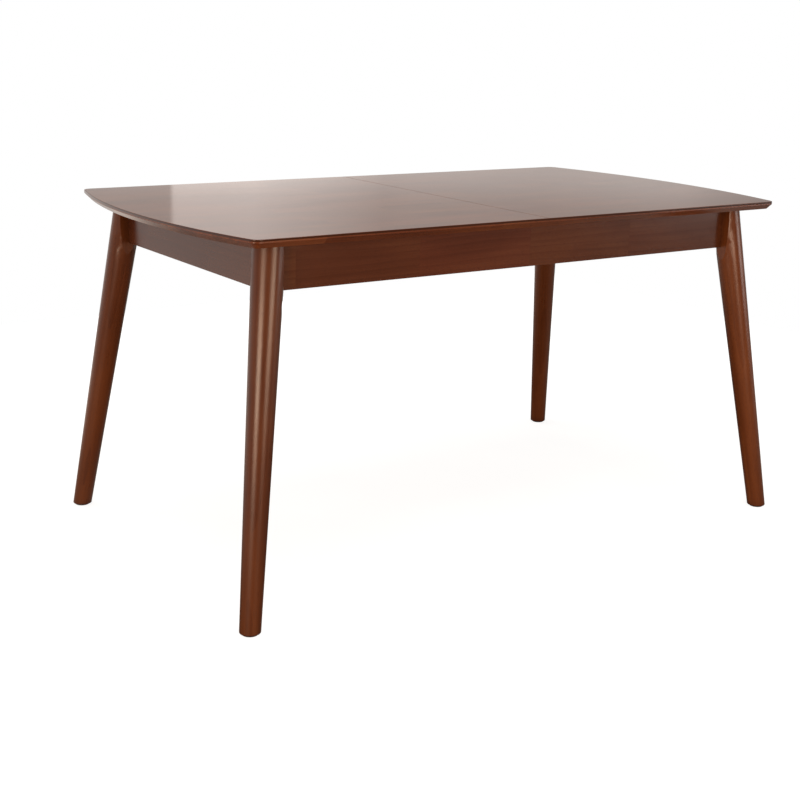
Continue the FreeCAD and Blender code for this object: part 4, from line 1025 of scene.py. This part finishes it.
def light_world():
    """White behind the table for the camera, graded surroundings for gloss and an even light for the rest."""
    world = bpy.data.worlds.new("studio")
    world.use_nodes = True
    tree = world.node_tree
    tree.nodes.clear()
    direction = add_node(tree, "TexCoord").outputs["Generated"]
    split = add_node(tree, "SeparateXYZ", {0: direction})
    compass = maths(tree, "ARCTAN2", split.outputs[0], split.outputs[1])
    ramp = add_node(tree, "ValToRGB", {"Fac": remap(tree, compass, -math.pi, math.pi)})
    elements = ramp.color_ramp.elements
    for index, (angle, level) in enumerate(SURROUNDINGS):
        share = (angle + 180) / 360
        stop = elements[index] if index < FIRST_STOPS else elements.new(share)
        stop.position = share
        stop.color = (*(level * tint for tint in SURROUNDINGS_TINT), 1)
    window = remap(tree, compass, *(math.radians(angle) for angle in WINDOW_EDGE), 0, WINDOW_LEVEL)
    faded = remap(tree, compass, *(math.radians(angle) for angle in WINDOW_FADE), 1, 0)
    tinted = mix_colour(tree, maths(tree, "MULTIPLY", window, faded), BLACK, (*SURROUNDINGS_TINT, 1))
    around = mix_colour(tree, 1, ramp.outputs["Color"], tinted, "ADD")
    rays = add_node(tree, "LightPath").outputs
    horizon = remap(tree, split.outputs[2], HORIZON_END, HORIZON_START, HORIZON_GAIN, 1)
    mirrored = add_node(tree, "Background", {"Color": around, "Strength": horizon}).outputs[0]
    even = add_node(tree, "Background", {"Color": WHITE, "Strength": AMBIENT_LEVEL}).outputs[0]
    white = add_node(tree, "Background", {"Color": WHITE, "Strength": 1}).outputs[0]
    lit = add_node(tree, "MixShader", {0: rays["Is Glossy Ray"], 1: even, 2: mirrored}).outputs[0]
    seen = maths(tree, "MAXIMUM", rays["Is Camera Ray"], rays["Is Transmission Ray"])
    shown = add_node(tree, "MixShader", {0: seen, 1: lit, 2: white}).outputs[0]
    output = tree.nodes.new("ShaderNodeOutputWorld")
    tree.links.new(shown, output.inputs["Surface"])
    bpy.context.scene.world = world


WARM = (1.0, 0.74, 0.54)
NEUTRAL = (1.0, 0.97, 0.93)
# Each panel's place, the point that it faces, its width and height, its power in watts and its colour
LAMPS = {
    "left_strip": ((-2.95, -1.65, 0.74), (-0.65, -0.37, 0.74), (1.30, 0.44), 53, WARM),
    "front_strip": ((-0.10, -2.92, 0.74), (-0.65, -0.37, 0.74), (1.30, 0.44), 36, WARM),
    "front_fill": ((-1.90, -2.40, 1.70), (-0.20, 0.00, 0.60), (2.00, 1.20), 16, WARM),
    "overhead": ((-0.30, -0.50, 3.20), (-0.30, -0.50, 0.76), (2.60, 2.60), 84, NEUTRAL),
    "back_panel": ((-1.90, 3.00, 1.90), (0.00, 0.00, 0.40), (2.40, 1.80), 42, NEUTRAL),
    "right_panel": ((2.70, -2.00, 0.74), (0.40, 0.00, 0.68), (1.20, 0.44), 11, NEUTRAL),
}
# From behind, these would show as white patches in the top, so no gloss mirrors them
UNMIRRORED_LAMPS = ("front_fill", "back_panel")


def light_lamps():
    """Soft panels round the table and one above it."""
    for name, (place, target, size, power, colour) in LAMPS.items():
        panel = bpy.data.lights.new(name, "AREA")
        panel.shape = "RECTANGLE"
        panel.size, panel.size_y = size
        panel.energy = power
        panel.color = colour
        lamp = bpy.data.objects.new(name, panel)
        lamp.location = place
        lamp.rotation_euler = (Vector(target) - Vector(place)).to_track_quat("-Z", "Y").to_euler()
        lamp.visible_camera = False
        lamp.visible_glossy = name not in UNMIRRORED_LAMPS
        bpy.context.scene.collection.objects.link(lamp)


FLOOR_HALF_SIDE = 2.4
FLOOR_ROUGHNESS = 0.9
FLOOR_MOTTLE_SCALE = 3
FLOOR_MOTTLE_LIMITS = (0.3, 0.7)
FLOOR_MOTTLE = 0.03
# How much the camera sees the floor glow under the table, and the distances over which that fades up to white
FLOOR_GLOW = 0.85
FLOOR_GLOW_FADE = (1.1, 2.3)
# The way to the window, on whose side the floor is bright enough for the lacquer to mirror it
# This fades in over some distances that way, and grows over others from its first glow to its last
FLOOR_BRIGHT_WAY = (-0.55, 0.83, 0)
FLOOR_BRIGHT_FADE = (0.1, 0.9)
FLOOR_BRIGHT_REACH = (1.2, 1.9)
FLOOR_BRIGHT_GLOWS = (0.34, 1.10)
# A fainter glow to the right of the table, and the distances over which it fades in
FLOOR_RIGHT_FADE = (0.5, 1.1)
FLOOR_RIGHT_GLOW = 0.22


def make_floor_material():
    """Pale floor that shows white to the camera, keeps the table's shadow and is clear from below."""
    material, tree, surface = new_material("pale floor")
    surface.inputs["Roughness"].default_value = FLOOR_ROUGHNESS
    surface.inputs["Specular IOR Level"].default_value = 0
    rays = add_node(tree, "LightPath").outputs
    place = part_place(tree)
    mottle = remap(tree, noise(tree, place, FLOOR_MOTTLE_SCALE), *FLOOR_MOTTLE_LIMITS, 0, FLOOR_MOTTLE)
    pale = mix_colour(tree, mottle, FLOOR_PALE, WHITE)
    pale = mix_colour(tree, rays["Is Glossy Ray"], pale, FLOOR_MIRRORED)
    tree.links.new(pale, surface.inputs["Base Color"])
    tint = mix_colour(tree, rays["Is Glossy Ray"], WHITE, FLOOR_WARM)
    tree.links.new(tint, surface.inputs["Emission Color"])
    distance = add_node(tree, "VectorMath", {0: place}, operation="LENGTH").outputs["Value"]
    shown_glow = remap(tree, distance, *FLOOR_GLOW_FADE, FLOOR_GLOW, 1, smooth=True)
    ahead = add_node(tree, "VectorMath", {0: place, 1: FLOOR_BRIGHT_WAY}, operation="DOT_PRODUCT")
    beyond = ahead.outputs["Value"]
    bright = maths(tree, "MULTIPLY", remap(tree, beyond, *FLOOR_BRIGHT_FADE, smooth=True),
                   remap(tree, beyond, *FLOOR_BRIGHT_REACH, *FLOOR_BRIGHT_GLOWS))
    sideways = add_node(tree, "SeparateXYZ", {0: place}).outputs[0]
    right = remap(tree, sideways, *FLOOR_RIGHT_FADE, 0, FLOOR_RIGHT_GLOW, smooth=True)
    mirrored_glow = maths(tree, "MAXIMUM", bright, right)
    seen = maths(tree, "MAXIMUM", rays["Is Camera Ray"], rays["Is Transmission Ray"])
    glow = maths(tree, "MAXIMUM", maths(tree, "MULTIPLY", seen, shown_glow),
                 maths(tree, "MULTIPLY", rays["Is Glossy Ray"], mirrored_glow))
    tree.links.new(glow, surface.inputs["Emission Strength"])
    below = add_node(tree, "NewGeometry").outputs["Backfacing"]
    clear = add_node(tree, "BsdfTransparent").outputs[0]
    shown = add_node(tree, "MixShader", {0: below, 1: surface.outputs["BSDF"], 2: clear}).outputs[0]
    tree.links.new(shown, tree.nodes["Material Output"].inputs["Surface"])
    return material


def lay_floor():
    """A plain pale floor under the table."""
    mesh = bpy.data.meshes.new("floor")
    shape = bmesh.new()
    corners = [(-1, -1), (1, -1), (1, 1), (-1, 1)]
    shape.faces.new([shape.verts.new((x * FLOOR_HALF_SIDE, y * FLOOR_HALF_SIDE, 0)) for x, y in corners])
    shape.to_mesh(mesh)
    shape.free()
    mesh.materials.append(make_floor_material())
    floor = bpy.data.objects.new("floor", mesh)
    bpy.context.scene.collection.objects.link(floor)


light_world()
light_lamps()
lay_floor()
bpy.context.scene.view_settings.view_transform = "Standard"
